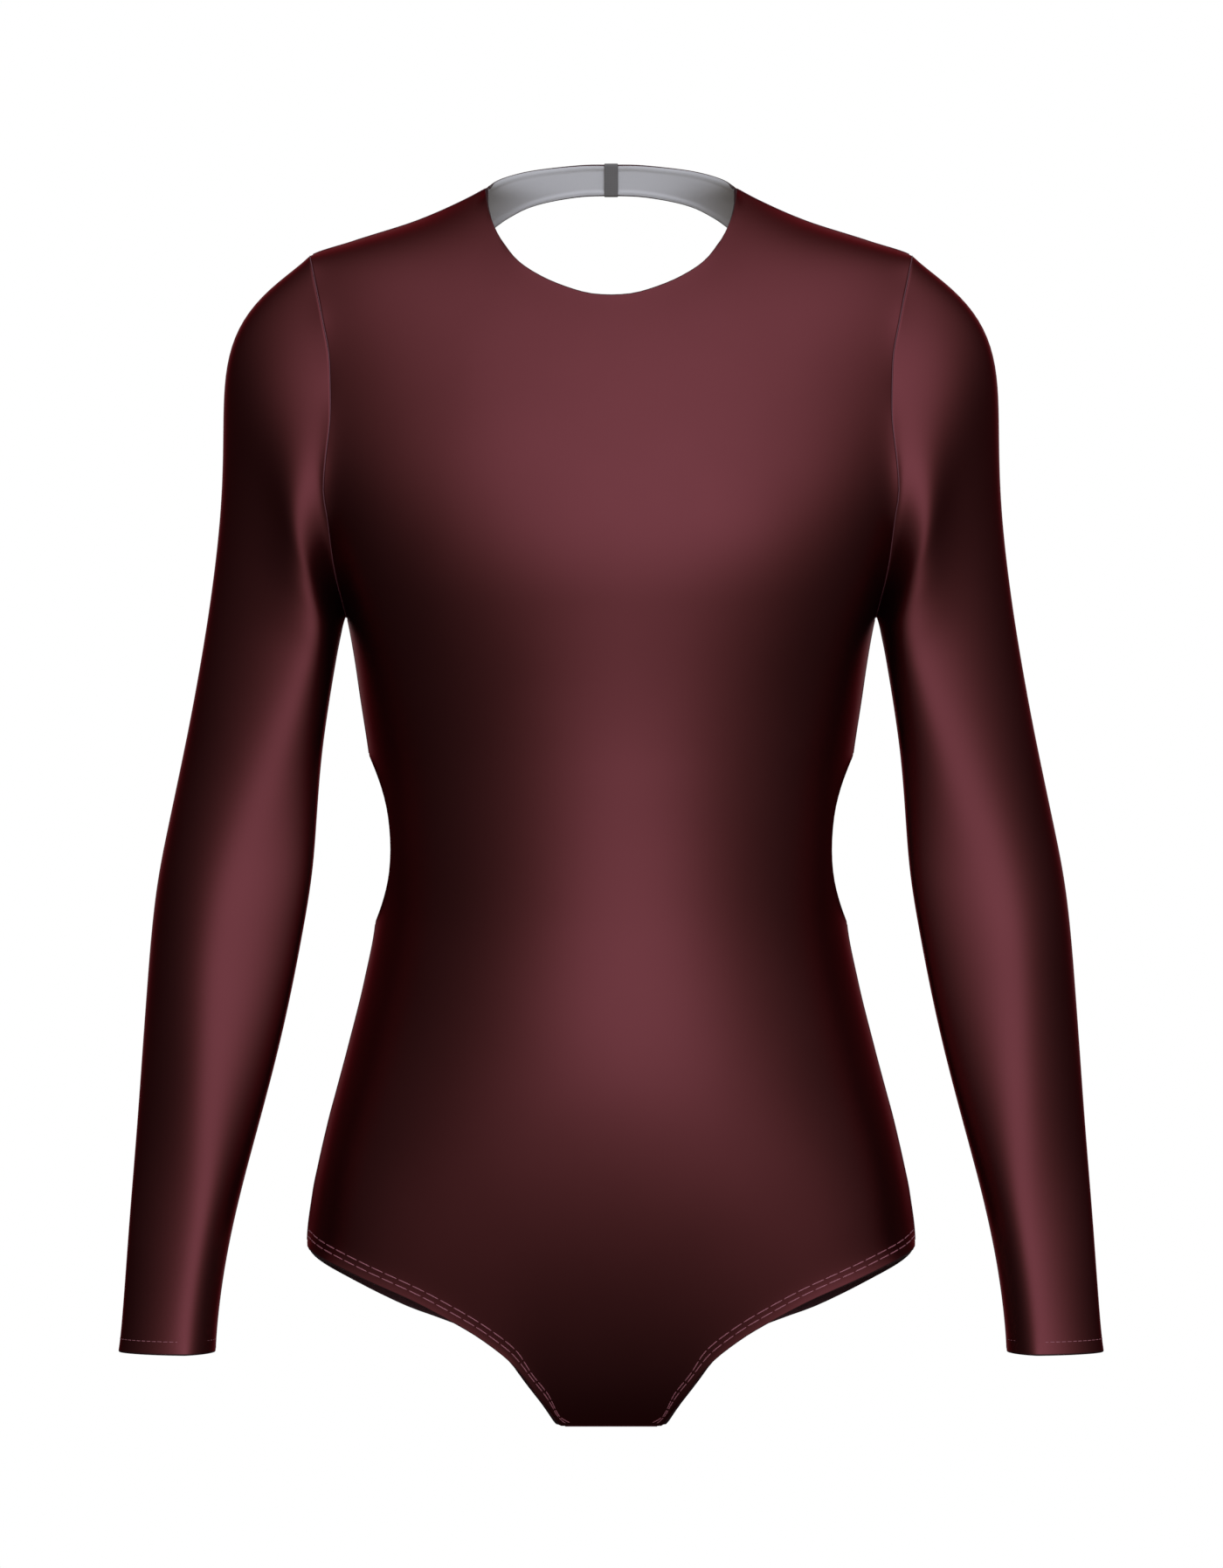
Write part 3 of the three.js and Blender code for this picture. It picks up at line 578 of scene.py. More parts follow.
wave = maths(knit, "SINE", maths(knit, "MULTIPLY", loop_phase, 2 * math.pi))
loops = maths(knit, "MULTIPLY_ADD", wave, 0.5, 0.5)
loop_height = maths(knit, "MULTIPLY_ADD", loops, 0.45, maths(knit, "MULTIPLY", rib, 0.55))
knit.links.new(loop_height, knit_out.inputs["Height"])
knit.links.new(maths(knit, "MULTIPLY", loops, rib), knit_out.inputs["Thread"])
print("fine knit group ready")

# %% Slow unevenness of stretched cloth
stretch, stretch_in, stretch_out = new_group(
    "stretch_tone", [("Patch Size", "NodeSocketFloat", 0.05)], [("Tone", "NodeSocketFloat")]
)
where = add_node(stretch, "ShaderNodeTexCoord")
cloud = add_node(stretch, "ShaderNodeTexNoise")
cloud.inputs["Detail"].default_value = 2.0
cloud.inputs["Roughness"].default_value = 0.4
stretch.links.new(where.outputs["Object"], cloud.inputs["Vector"])
stretch.links.new(maths(stretch, "DIVIDE", 1.0, stretch_in.outputs["Patch Size"]), cloud.inputs["Scale"])
stretch.links.new(cloud.outputs["Fac"], stretch_out.inputs["Tone"])
print("stretch tone group ready")

# %% A cloth material from the two groups
PATCH = 0.06
SPREAD = 0.03


def cloth_finish(name, dark, light, metal, rough, knit_size, relief):
    """Cloth whose colour runs from dark, between the threads, to light on them."""
    material = bpy.data.materials.new(name)
    material.use_nodes = True
    tree = material.node_tree
    shader = tree.nodes["Principled BSDF"]
    loops = place_group(tree, knit, Wale_Width=knit_size, Course_Height=knit_size * 0.85)
    tone = place_group(tree, stretch, Patch_Size=PATCH)
    half_thread = maths(tree, "MULTIPLY", loops.outputs["Thread"], 0.5)
    share = maths(tree, "MULTIPLY_ADD", tone.outputs["Tone"], 0.5, half_thread)
    mix = add_node(tree, "ShaderNodeMix", data_type="RGBA")
    tree.links.new(share, mix.inputs["Factor"])
    mix.inputs["A"].default_value = (*dark, 1)
    mix.inputs["B"].default_value = (*light, 1)
    tree.links.new(mix.outputs["Result"], shader.inputs["Base Color"])
    uneven = maths(tree, "MULTIPLY_ADD", tone.outputs["Tone"], SPREAD, rough - SPREAD / 2)
    tree.links.new(uneven, shader.inputs["Roughness"])
    bump = add_node(tree, "ShaderNodeBump")
    bump.inputs["Strength"].default_value = 0.35
    bump.inputs["Distance"].default_value = relief
    tree.links.new(loops.outputs["Height"], bump.inputs["Height"])
    tree.links.new(bump.outputs["Normal"], shader.inputs["Normal"])
    shader.inputs["Metallic"].default_value = metal
    return material


foil_face = cloth_finish("burgundy_foil", (0.142, 0.034, 0.034), (0.2, 0.049, 0.05),
                         metal=1.0, rough=0.36, knit_size=0.0006, relief=0.00002)
knit_inside = cloth_finish("grey_knit_inside", (0.65, 0.6, 0.55), (0.88, 0.82, 0.74),
                           metal=0.0, rough=0.85, knit_size=0.0007, relief=0.00006)
# The turned-in cloth is the same foil as the outside, painted darker here: its dark colour is painted shade
# on the rims and on the hems inside the openings.
turned_edge_painted_shade = cloth_finish("turned_edge_painted_shade", (0.055, 0.018, 0.019), (0.09, 0.028, 0.03),
                           metal=0.7, rough=0.5, knit_size=0.0006, relief=0.00003)
rose_thread = cloth_finish("rose_thread", (0.36, 0.115, 0.13), (0.56, 0.19, 0.21),
                           metal=0.0, rough=0.5, knit_size=0.0004, relief=0.00003)
seam_thread = cloth_finish("seam_thread", (0.12, 0.034, 0.04), (0.2, 0.056, 0.064),
                           metal=0.0, rough=0.55, knit_size=0.0004, relief=0.00003)
closure_tape = cloth_finish("closure_tape", (0.15, 0.133, 0.115), (0.25, 0.222, 0.19),
                            metal=0.0, rough=0.7, knit_size=0.0009, relief=0.0001)
foil_shader = foil_face.node_tree.nodes["Principled BSDF"]
foil_shader.inputs["Specular Tint"].default_value = (0.8, 0.36, 0.38, 1)
knit_inside.node_tree.nodes["Principled BSDF"].inputs["Sheen Weight"].default_value = 0.1
print("finishes:", [material.name for material in bpy.data.materials])

# %% [markdown]
# ## The front
#
# One panel from the shoulder seams to the crotch seam. Its first row runs along one shoulder seam,
# round the scooped neck and along the other shoulder, so the neck needs no hole. The rows then go
# down the body, and at the waist they stop short of the sides, where the open back comes round.

# %% Front panel
def level_row(degrees, z):
    share = 1 - np.arange(2 * HALF_COLUMNS + 1) / HALF_COLUMNS
    return around_figure(FRONT, [(degrees * s, z) for s in share])


def leg_edge(side):
    marks = on_figure(side, FRONT_LEG if side == FRONT else BACK_LEG)
    return edge_through(np.vstack([leg_top, marks, crotch_corner]), LEG_STEPS)


def with_seam_gap(grid, side, gap=0.05):
    """Draws a panel back by a hair from the seams it shares."""
    edge = np.zeros(grid.shape[:2], bool)
    edge[[0, -1]] = edge[:, [0, -1]] = True
    on_seam = edge & (np.abs(grid[..., 1]) < 1e-4)
    grid[on_seam, 1] = side * gap
    return grid, on_seam


def seam_normals(grid, on_seam):
    normals = outward(grid)
    normals[on_seam, 1] = 0
    return unit(normals)


neckline = edge_through(np.vstack([neck_point, on_figure(FRONT, FRONT_NECKLINE)]), NECK_STEPS)
half_top = join(shoulder_seam[::-1], neckline)
front_armhole = armhole_points(np.linspace(0, 180, ARMHOLE_STEPS + 1))
chest = fill_between(join(half_top, mirrored(half_top)), level_row(90, UNDERARM),
                     front_armhole, flipped(front_armhole))
SIDE_ROWS = 16
OPENING_ROWS = 24
HIP_ROWS = 18
waist = [level_row(90, z) for z in np.linspace(UNDERARM, OPENING_TOP, SIDE_ROWS + 1)[1:]]
for turn in np.linspace(0, math.pi, OPENING_ROWS + 1)[1:]:
    z = (OPENING_TOP + OPENING_BOTTOM) / 2 + (OPENING_TOP - OPENING_BOTTOM) / 2 * math.cos(turn)
    cut_away = OPENING_FORWARD_TURN * math.sin(turn) if turn < math.pi else 0
    waist.append(level_row(90 - cut_away, z))
waist += [level_row(90, z) for z in np.linspace(OPENING_BOTTOM, HIP_ROW, HIP_ROWS + 1)[1:]]
half_bottom = join(leg_edge(FRONT), crotch_seam)
hip_side = side_seam(HIP_ROW, LEG_TOP, 26)
lap = fill_between(waist[-1], join(half_bottom, mirrored(half_bottom)), hip_side, flipped(hip_side))
front_grid = relax(np.vstack([chest, waist, lap[1:]]), RELAX_ROUNDS)
opening_row = ARMHOLE_STEPS + SIDE_ROWS
opening_side = front_grid[opening_row:opening_row + OPENING_ROWS + 1, 0]
front_grid, front_seams = with_seam_gap(close_lines(front_grid), FRONT)
print("front panel grid:", front_grid.shape[:2])

# %% Thickness and rim of a panel
# Depth of a leg hem, and the distances from an edge between which a turned-in width thins out
LEG_HEM = 10
NARROW_TURN = (1.4, 2.6)
WIDE_TURN = (4, 9)


def far_from(grid, edges):
    """The distance of each point of a grid from the nearest of several edges."""
    return np.min([distance_from(grid, edge) for edge in edges], axis=0)


def panel(name, grid, on_seam, free_edges, armhole_cells=None, turn=WIDE_TURN, leg_edges=()):
    """Makes a panel that is thin on its seams and turned in along its free edges."""
    thick = CLOTH + (TURNED - CLOTH) * ease(far_from(grid, free_edges), *turn)
    hem = far_from(grid, leg_edges) < LEG_HEM if leg_edges else None
    rim = np.zeros(grid.shape[:2], bool)
    rim[[0, -1]] = rim[:, [0, -1]] = True
    sewn = on_seam.copy()
    if armhole_cells is not None:
        sewn |= armhole_cells
    roundness = np.where(sewn, 0.0, 1.0) * rim
    dip = SEAM_DIP * sewn
    # The third finish, on rims and turned-in hems, is the foil painted darker: painted shade.
    return cloth_sheet(name, grid, thick, roundness, dip, [foil_face, knit_inside, turned_edge_painted_shade],
                       normals=seam_normals(grid, on_seam), hem=hem)


full_neckline = join(neckline, mirrored(neckline))
front_legs = [leg_edge(FRONT), flipped(leg_edge(FRONT))]
rows, columns = front_grid.shape[:2]
armhole_cells = np.zeros((rows, columns), bool)
armhole_cells[:ARMHOLE_STEPS + 3, [0, -1]] = True
front_cloth = panel("front_cloth", front_grid, front_seams,
                    [full_neckline, *front_legs, opening_side, flipped(opening_side)],
                    armhole_cells, leg_edges=front_legs)
print("front area:", round(area_of(front_cloth), 4), "square metres")

# %% [markdown]
# ## The upper back
#
# With so wide an opening, what is left of the upper back is one narrow strip on each side: half
# the band behind the neck, the back of the shoulder, and the back of the armhole down to the side
# seam. Its two long edges are the outer seams and the inner cut edge, so the grid runs along it.

# %% Shoulder blade pieces
BAND_STEPS = 28
band_top = on_figure(BACK, [(0.15, NECK_BAND_TOP)])[0]
band_foot = on_figure(BACK, [(0.15, NECK_BAND_FOOT)])[0]
back_neck = edge_through(np.vstack([neck_point, on_figure(BACK, BACK_NECKLINE), band_top]), BAND_STEPS)
back_armhole = armhole_points(np.linspace(360, 180, ARMHOLE_STEPS + 1))
back_armhole[0] = front_armhole[0]
upper = join(back_neck[::-1], shoulder_seam, back_armhole)
band_edge = edge_through(np.vstack([band_foot, on_figure(BACK, BAND_LOWER_EDGE)]), BAND_STEPS)
shoulder_edge = edge_through(on_figure(BACK, SHOULDER_INNER_EDGE), SHOULDER_STEPS)
blade_marks = np.vstack([on_figure(BACK, BLADE_INNER_EDGE), around_figure(BACK, BLADE_TO_SIDE), opening_top])
blade_edge = edge_through(blade_marks, ARMHOLE_STEPS)
lower = join(band_edge, shoulder_edge, blade_edge)
centre_back = edge_through([band_top, band_foot], 24)
under_arm = side_seam(UNDERARM, OPENING_TOP, 24)
strip = relax(fill_between(upper, lower, centre_back, under_arm), RELAX_ROUNDS)
blade_grid, blade_seams = with_seam_gap(close_lines(strip), BACK)
blade_armhole = np.zeros(blade_grid.shape[:2], bool)
blade_armhole[0, BAND_STEPS + SHOULDER_STEPS + 2:] = True
blade_right = panel("shoulder_blade_right", blade_grid, blade_seams, [back_neck, lower], blade_armhole,
                    turn=NARROW_TURN)
blade_left = panel("shoulder_blade_left", flipped(blade_grid)[:, ::-1], blade_seams[:, ::-1],
                   [flipped(back_neck), flipped(lower)], blade_armhole[:, ::-1], turn=NARROW_TURN)
print("blade area:", round(area_of(blade_right), 4), "square metres each")

# %% [markdown]
# ## The seat
#
# The lower back piece goes from the low edge of the opening to the crotch seam. Both its upper and
# lower edges are cut in a curve, and it meets the front at the sides.

# %% Seat panel
half_low_back = edge_through(np.vstack([opening_bottom, around_figure(BACK, LOW_BACK_EDGE)]), HALF_COLUMNS)
low_back = join(half_low_back, mirrored(half_low_back))
back_legs = [leg_edge(BACK), flipped(leg_edge(BACK))]
half_seat = join(back_legs[0], crotch_seam)
seat_side = side_seam(OPENING_BOTTOM, LEG_TOP, 44)
seat = fill_between(low_back, join(half_seat, mirrored(half_seat)), seat_side, flipped(seat_side))
seat_grid, seat_seams = with_seam_gap(close_lines(relax(seat, RELAX_ROUNDS)[:, ::-1]), BACK)
seat_cloth = panel("seat_cloth", seat_grid, seat_seams, [low_back, *back_legs], leg_edges=back_legs)
print("seat area:", round(area_of(seat_cloth), 4), "square metres")

# %% [markdown]
# ## The sleeves
#
# A set-in sleeve is a tube whose upper edge is eased into the armhole. Each ring runs between the
# outer and inner contour of the arm. Behind, it is half an ellipse. In front, it swells to a ridge
# and flattens towards the seam. The rings of the cap turn step by step into the exact shape of the
# armhole seam, so that the two edges meet all round.

# %% Sleeves
AROUND = 2 * ARMHOLE_STEPS
HEM_FOLD = (6.3, 8)
RINGS = 4 * (len(SLEEVE) - 1) + 1
station_at = np.linspace(0, len(SLEEVE) - 1, RINGS)
numbered = [(i, *row) for i, row in enumerate(SLEEVE)]
outer_x, outer_z, inner_x, inner_z, middle_y, half_depth = (
    steady_curve(numbered, column)(station_at)[:, None] for column in range(1, 7))
ring_turn = np.linspace(0, 2 * math.pi, AROUND, endpoint=False)[None]
ridge = steady_curve(SLEEVE_FRONT, 1)(outer_z)
inner_y = middle_y - steady_curve(SLEEVE_FRONT, 2)(outer_z)
across = np.cos(ring_turn)
share = (across + 1) / 2
behind = inner_y + (middle_y - inner_y) * share + half_depth * np.abs(np.sin(ring_turn))
is_outer = across > ridge
from_ridge = np.where(is_outer, (across - ridge) / (1 - ridge), (ridge - across) / (1 + ridge))
power = np.where(is_outer, steady_curve(SLEEVE_FRONT, 3)(outer_z), INNER_FRONT_POWER)
fullness = np.maximum(0, 1 - from_ridge ** power) ** (1 / power)
rim_y = np.where(is_outer, middle_y, inner_y)
before = rim_y + (middle_y - half_depth - rim_y) * fullness
sleeve_grid = np.stack([
    inner_x + (outer_x - inner_x) * share,
    np.where((ring_turn > 0) & (ring_turn < math.pi - 1e-6), before, behind),
    inner_z + (outer_z - inner_z) * share,
], axis=2)
armhole_ring = armhole_points(np.degrees(ring_turn[0]))
fitted = ease(station_at, 0, CAP_STATIONS)[:, None, None]
sleeve_grid += fitted * (armhole_ring - sleeve_grid[0])[None]
sleeve_grid[..., 0] += 0.1


def relax_tube(grid, rounds):
    grid = grid.copy()
    for _ in range(rounds):
        middle = grid[1:-1]
        around = grid[:-2] + grid[2:] + np.roll(middle, 1, axis=1) + np.roll(middle, -1, axis=1)
        grid[1:-1] = 0.5 * middle + around / 8
    return grid


sleeve_grid = close_lines(relax_tube(sleeve_grid, 30), columns=False)


def sleeve(name, grid):
    hem = np.linalg.norm(grid - grid[-1:], axis=2)
    thick = CLOTH + (TURNED - CLOTH) * ease(hem, *HEM_FOLD)
    roundness = np.zeros(grid.shape[:2])
    roundness[-1] = 1
    dip = np.zeros(grid.shape[:2])
    dip[0] = SEAM_DIP
    # The cuff rim takes the foil painted darker, which is painted shade.
    return cloth_sheet(name, grid, thick, roundness, dip, [foil_face, knit_inside, turned_edge_painted_shade], wraps=True)


def other_side(grid):
    """The same tube for the other arm, with its columns turned round so that it still faces out."""
    return np.roll(flipped(grid)[:, ::-1], 1, axis=1)


sleeve_cloth_right = sleeve("sleeve_cloth_right", sleeve_grid)
sleeve_cloth_left = sleeve("sleeve_cloth_left", other_side(sleeve_grid))
print("sleeve area:", round(area_of(sleeve_cloth_right), 4), "square metres each")

# %% [markdown]
# ## Seams
#
# Where two pieces are sewn together, the needle thread pulls the cloth into a fine groove and
# shows as a thin dark line. Inside, the two raw edges are overlocked and stand up as a narrow
# allowance, which also keeps light from showing through. Both are swept along the same seam line.

# %% Sweep a small section along a line on the cloth
def tube_faces(rings, sides, first=0, closed=False):
    """The faces of a tube of rings, with a face at each end unless it is closed."""
    faces = []
    for ring in range(rings if closed else rings - 1):
        after = (ring + 1) % rings
        for k in range(sides):
            m = (k + 1) % sides
            faces.append((ring * sides + k, ring * sides + m, after * sides + m, after * sides + k))
    if not closed:
        faces += [tuple(range(sides))[::-1], tuple((rings - 1) * sides + k for k in range(sides))]
    return [tuple(first + corner for corner in face) for face in faces]


def swept(name, path, normals, section, material, closed=False, taper=0.0):
    """A small section swept along a line.

    The section is a list of (sideways, outward) offsets in millimetres, in order round the outline.
    taper is the length over which an open end narrows."""
    ahead = np.roll(path, -1, axis=0) - np.roll(path, 1, axis=0) if closed else np.gradient(path, axis=0)
    ahead = unit(ahead)
    normals = unit(normals - ahead * (ahead * normals).sum(axis=1, keepdims=True))
    sideways = np.cross(ahead, normals)
    length = length_along(path)
    size = np.ones(len(path))
    if taper:
        size = np.clip(np.minimum(length, length[-1] - length) / taper, 0.12, 1)
    rings = [path + size[:, None] * (sideways * a + normals * b) for a, b in section]
    points = np.stack(rings, axis=1)
    count, sides = points.shape[:2]
    quads = tube_faces(count, sides, closed=closed)
    piece = add_object(name, points.reshape(-1, 3), quads, [material])
    mesh = piece.data
    mesh.polygons.foreach_set("use_smooth", [len(q) == 4 for q in quads])
    layer = mesh.uv_layers.new(name="cloth")
    for face in mesh.polygons:
        for at in face.loop_indices:
            vertex = mesh.loops[at].vertex_index
            layer.data[at].uv = (vertex % sides * 0.0004, length[vertex // sides] * MM)
    return piece


THREAD_SECTION = [(0.32 * math.cos(a), 0.3 * math.sin(a) - 0.12)
                  for a in np.linspace(0, 2 * math.pi, 8, endpoint=False)]
ALLOWANCE_SECTION = [(-0.5, -CLOTH * 0.8), (-0.5, -5.2), (0, -5.6), (0.5, -5.2), (0.5, -CLOTH * 0.8)]
ALLOWANCE_TAPER = 8


def side_normals(path):
    z = path[:, 2]
    slope = (half_width(z + 1) - half_width(z - 1)) / 2
    return unit(np.stack([np.ones_like(z), np.zeros_like(z), -slope], axis=1))


def sewn_seam(name, path, normals, closed=False):
    thread = swept("seam_thread_" + name, path, normals, THREAD_SECTION, seam_thread, closed)
    inside = swept("seam_allowance_" + name, path, normals, ALLOWANCE_SECTION, knit_inside, closed,
                   0 if closed else ALLOWANCE_TAPER)
    return [thread, inside]


def seam_on_both_sides(name, path, normals, closed=False):
    right = sewn_seam(name + "_right", path, normals, closed)
    return right + sewn_seam(name + "_left", flipped(path), flipped(normals), closed)


right_seams = {
    "shoulder": side_seam(NECK_POINT, SHOULDER_POINT, 60)[1:-1],
    "side_upper": side_seam(UNDERARM, OPENING_TOP, 60)[1:-1],
    "side_lower": side_seam(OPENING_BOTTOM, LEG_TOP, 120)[1:-1],
}
seam_pieces = []
for name, path in right_seams.items():
    seam_pieces += seam_on_both_sides(name, path, side_normals(path))
ring_normals = outward(sleeve_grid, wraps=True)[0]
centre = np.array([0, 0, (SHOULDER_POINT + UNDERARM) / 2])
body_side = unit((sleeve_grid[0] - centre) * np.array([0.25, 1, 1]))
armhole_normals = unit(ring_normals + body_side)
armhole_path = sleeve_grid[0] - np.array([0.05, 0, 0])
seam_pieces += seam_on_both_sides("armhole", armhole_path, armhole_normals, closed=True)
crotch_path = join(crotch_seam, mirrored(crotch_seam))[1:-1]
seam_pieces += sewn_seam("crotch", crotch_path, np.tile([0.0, 0.0, -1.0], (len(crotch_path), 1)))
inner_line = sleeve_grid[1:-2, AROUND // 2]
inner_normals = outward(sleeve_grid, wraps=True)[1:-2, AROUND // 2]
seam_pieces += seam_on_both_sides("sleeve", inner_line, inner_normals)
print("seam pieces:", len(seam_pieces))

# %% [markdown]
# ## Hem stitches
#
# Each leg hem is turned in and held by two rows of long stitches, and each cuff by one row of
# short ones. A row runs at a fixed distance from the edge, so every point of the edge is moved in,
# square to it, and dropped on to the cloth. Each stitch is a short rounded bar of thread.

# %% Rows of stitches on the cloth
def surface_of(piece):
    mesh = piece.data
    return BVHTree.FromPolygons([v.co[:] for v in mesh.vertices],
                                [p.vertices[:] for p in mesh.polygons if p.material_index == OUTSIDE])


def smoothed(line, rounds):
    """The same line with its small unevenness taken out. Its two ends stay."""
    line = line.copy()
    for _ in range(rounds):
        line[1:-1] = 0.5 * line[1:-1] + 0.25 * (line[:-2] + line[2:])
    return line


def row_from_edge(edge, inward_hint, inset, surface):
    """The points on the cloth at a fixed distance in from an edge."""
    ahead = unit(np.gradient(edge, axis=0))
    faces = np.array([surface.find_nearest(Vector(point * MM))[1] for point in edge])
    inward = unit(np.cross(ahead, faces))
    inward *= np.sign((inward * inward_hint).sum(axis=1, keepdims=True))
    inward = smoothed(inward, 12)
    found = [surface.find_nearest(Vector(point * MM)) for point in edge + inward * inset]
    places = np.array([place for place, _, _, _ in found]) / MM
    normals = np.array([normal for _, normal, _, _ in found])
    return smoothed(places, 8), unit(smoothed(normals, 8))


# A stitch: how far along it and how full there, sides of the thread, and its height off the cloth
STITCH_PROFILE = [(0.0, 0.15), (0.06, 0.75), (0.2, 1.0), (0.5, 1.0), (0.8, 1.0), (0.94, 0.75), (1.0, 0.15)]
STITCH_SIDES = 6
STITCH_LIFT = 0.1


def stitch_row(name, path, normals, stitch, gap, width, closed=False):
    """A row of separate stitches in one mesh."""
    length = length_along(path)
    count = int((length[-1] + (0 if closed else gap)) // (stitch + gap))
    pitch = (length[-1] + (0 if closed else gap)) / count
    points, quads = [], []
    for i in range(count):
        at = i * pitch + np.array([p for p, _ in STITCH_PROFILE]) * (pitch - gap)
        middle = np.stack([np.interp(at, length, path[:, k]) for k in range(3)], axis=1)
        normal = unit(np.stack([np.interp(at, length, normals[:, k]) for k in range(3)], axis=1))
        ahead = unit(np.gradient(middle, axis=0))
        aside = np.cross(ahead, normal)
        quads += tube_faces(len(STITCH_PROFILE), STITCH_SIDES, len(points))
        for j, (_, full) in enumerate(STITCH_PROFILE):
            for k in range(STITCH_SIDES):
                angle = 2 * math.pi * k / STITCH_SIDES
                lift = STITCH_LIFT + 0.5 * width * full * math.sin(angle) * 0.8
                points.append(middle[j] + aside[j] * 0.5 * width * full * math.cos(angle) + normal[j] * lift)
    piece = add_object(name, np.array(points), quads, [rose_thread])
    piece.data.polygons.foreach_set("use_smooth", [True] * len(quads))
    piece.data.uv_layers.new(name="cloth")
    print(f"{name}: {count} stitches")
    return piece


# Length of a stitch, gap to the next one, and width of the thread
LEG_STITCH = (7, 1, 0.62)
CUFF_STITCH = (2.6, 0.7, 0.4)
# How far in from the edge each row runs
LEG_INSETS = (("outer", 4.2), ("inner", 7.5))
CUFF_INSET = 6.3
ALONG_LEG = 160
stitch_pieces = []
for part, cloth, edge in (("front", front_cloth, leg_edge(FRONT)), ("seat", seat_cloth, leg_edge(BACK))):
    surface = surface_of(cloth)
    fine_edge = spaced(edge, ALONG_LEG)
    grid = front_grid if part == "front" else seat_grid[:, ::-1]
    above = spaced(grid[-6, :LEG_STEPS + 3], ALONG_LEG)
    for row, inset in LEG_INSETS:
        path, normals = row_from_edge(fine_edge, above - fine_edge, inset, surface)
        path, normals = path[1:-2], normals[1:-2]
        stitch_pieces.append(stitch_row(f"leg_stitches_{part}_{row}_right", path, normals, *LEG_STITCH))
        stitch_pieces.append(stitch_row(f"leg_stitches_{part}_{row}_left", flipped(path)[::-1],
                                        flipped(normals)[::-1], *LEG_STITCH))
for side, cloth, grid in (("right", sleeve_cloth_right, sleeve_grid),
                          ("left", sleeve_cloth_left, other_side(sleeve_grid))):
    ring = np.vstack([grid[-1], grid[-1, :1]])
    above = np.vstack([grid[-8], grid[-8, :1]])
    path, normals = row_from_edge(ring, above - ring, CUFF_INSET, surface_of(cloth))
    stitch_pieces.append(stitch_row(f"cuff_stitches_{side}", path, normals, *CUFF_STITCH, closed=True))

# %% [markdown]
# ## The closure
#
# Behind the neck the two ends of the band lie side by side, and a small loop of dark grey tape
# goes round both. It is the one dark accent of the neck: a flat woven tape, closed on itself.

# %% Neck closure
# The loop's middle lies in the middle of the band's cloth. It reaches a little beyond the band.
BAND_MIDDLE = 0.6
LOOP_BEYOND = 1.4
LOOP_HALF_THICK = 2.0
LOOP_CORNER = 1.2
LOOP_STEPS = 72
TAPE = 0.9
TAPE_X = (-3.3, -3.15, -2.6, -1.3, 0, 1.3, 2.6, 3.15, 3.3)
band_high = on_figure(BACK, [(0, NECK_BAND_TOP)])[0]
band_low = on_figure(BACK, [(0, NECK_BAND_FOOT)])[0]
upward = unit(band_high - band_low)
outwards = np.array([0, upward[2], -upward[1]])
middle = (band_high + band_low) / 2 - outwards * BAND_MIDDLE
half_high = np.linalg.norm(band_high - band_low) / 2 + LOOP_BEYOND
loop = []
for a, b, start in ((1, 1, 0), (-1, 1, 90), (-1, -1, 180), (1, -1, 270)):
    for turn in np.radians(np.linspace(start, start + 90, 7)):
        loop.append((a * (LOOP_HALF_THICK - LOOP_CORNER) + LOOP_CORNER * math.cos(turn),
                     b * (half_high - LOOP_CORNER) + LOOP_CORNER * math.sin(turn)))
loop = np.array(loop)
outline = np.array([middle + outwards * a + upward * b for a, b in loop])
outline = spaced(np.vstack([outline, outline[:1]]), LOOP_STEPS)[:-1]
tape_grid = np.array([outline + np.array([x, 0, 0]) for x in TAPE_X])
if (outward(tape_grid, wraps=True)[4, 0] * (outline[0] - middle)).sum() < 0:
    tape_grid = tape_grid[::-1]
ends = np.zeros(tape_grid.shape[:2])
ends[[0, -1]] = 1
closure = cloth_sheet("closure_loop", tape_grid, np.full(tape_grid.shape[:2], TAPE), ends,
                      0 * ends, [closure_tape] * 3, wraps=True)

# %% [markdown]
# ## What the pieces are
#
# The width and length of the cloth that each sheet is cut from are printed. The pattern pieces are
# curved, so the area of the piece itself is printed too.

# %% Ride, replace and print the cloth sizes
def stands_for(piece, node):
    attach(piece, "root")
    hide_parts(node)


sheets = [
    (front_cloth, "front", (0.46, 0.74)),
    (seat_cloth, "back_lower", (0.44, 0.31)),
    (blade_right, "back_upper_right", (0.17, 0.34)),
    (blade_left, "back_upper_left", (0.17, 0.34)),
    (sleeve_cloth_right, "sleeve_right", (0.31, 0.63)),
    (sleeve_cloth_left, "sleeve_left", (0.31, 0.63)),
]
for piece in seam_pieces + stitch_pieces:
    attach(piece, "root")
for piece, node, flat in sheets:
    stands_for(piece, node)
    print(piece.name, "cut from", flat, "area", round(area_of(piece), 3))
stands_for(closure, "neck_closure")

# %% [markdown]
# ## Studio
#
# Foil shows what is around it, so its shading is a picture of the studio: one broad soft light in
# front, a little high and to the right, that fades slowly into a dark room. Area lamps could make
# it, but foil would show their square edges. So the world itself is the lamp: its brightness
# depends on how many degrees a direction lies away from the middle line of the light. Near that
# line it is tinted, which gives the foil its rose highlights, and further out it is neutral. The
# ground that the camera sees is white. The pale floor lies well below the garment. It is plain to
# the camera and lets every other ray by, so that it neither lights the foil nor darkens it.

# %% Floor
FLOOR_HEIGHT = -1.3
FLOOR_RADIUS = 4.4
FLOOR_COLOUR = (0.9, 0.9, 0.9, 1)


def show_to_camera(tree, seen, unseen, output):
    """Gives the camera one shader and all other rays another."""
    ray = add_node(tree, "ShaderNodeLightPath")
    choose = add_node(tree, "ShaderNodeMixShader")
    tree.links.new(ray.outputs["Is Camera Ray"], choose.inputs[0])
    tree.links.new(unseen.outputs[0], choose.inputs[1])
    tree.links.new(seen.outputs[0], choose.inputs[2])
    tree.links.new(choose.outputs[0], output.inputs["Surface"])


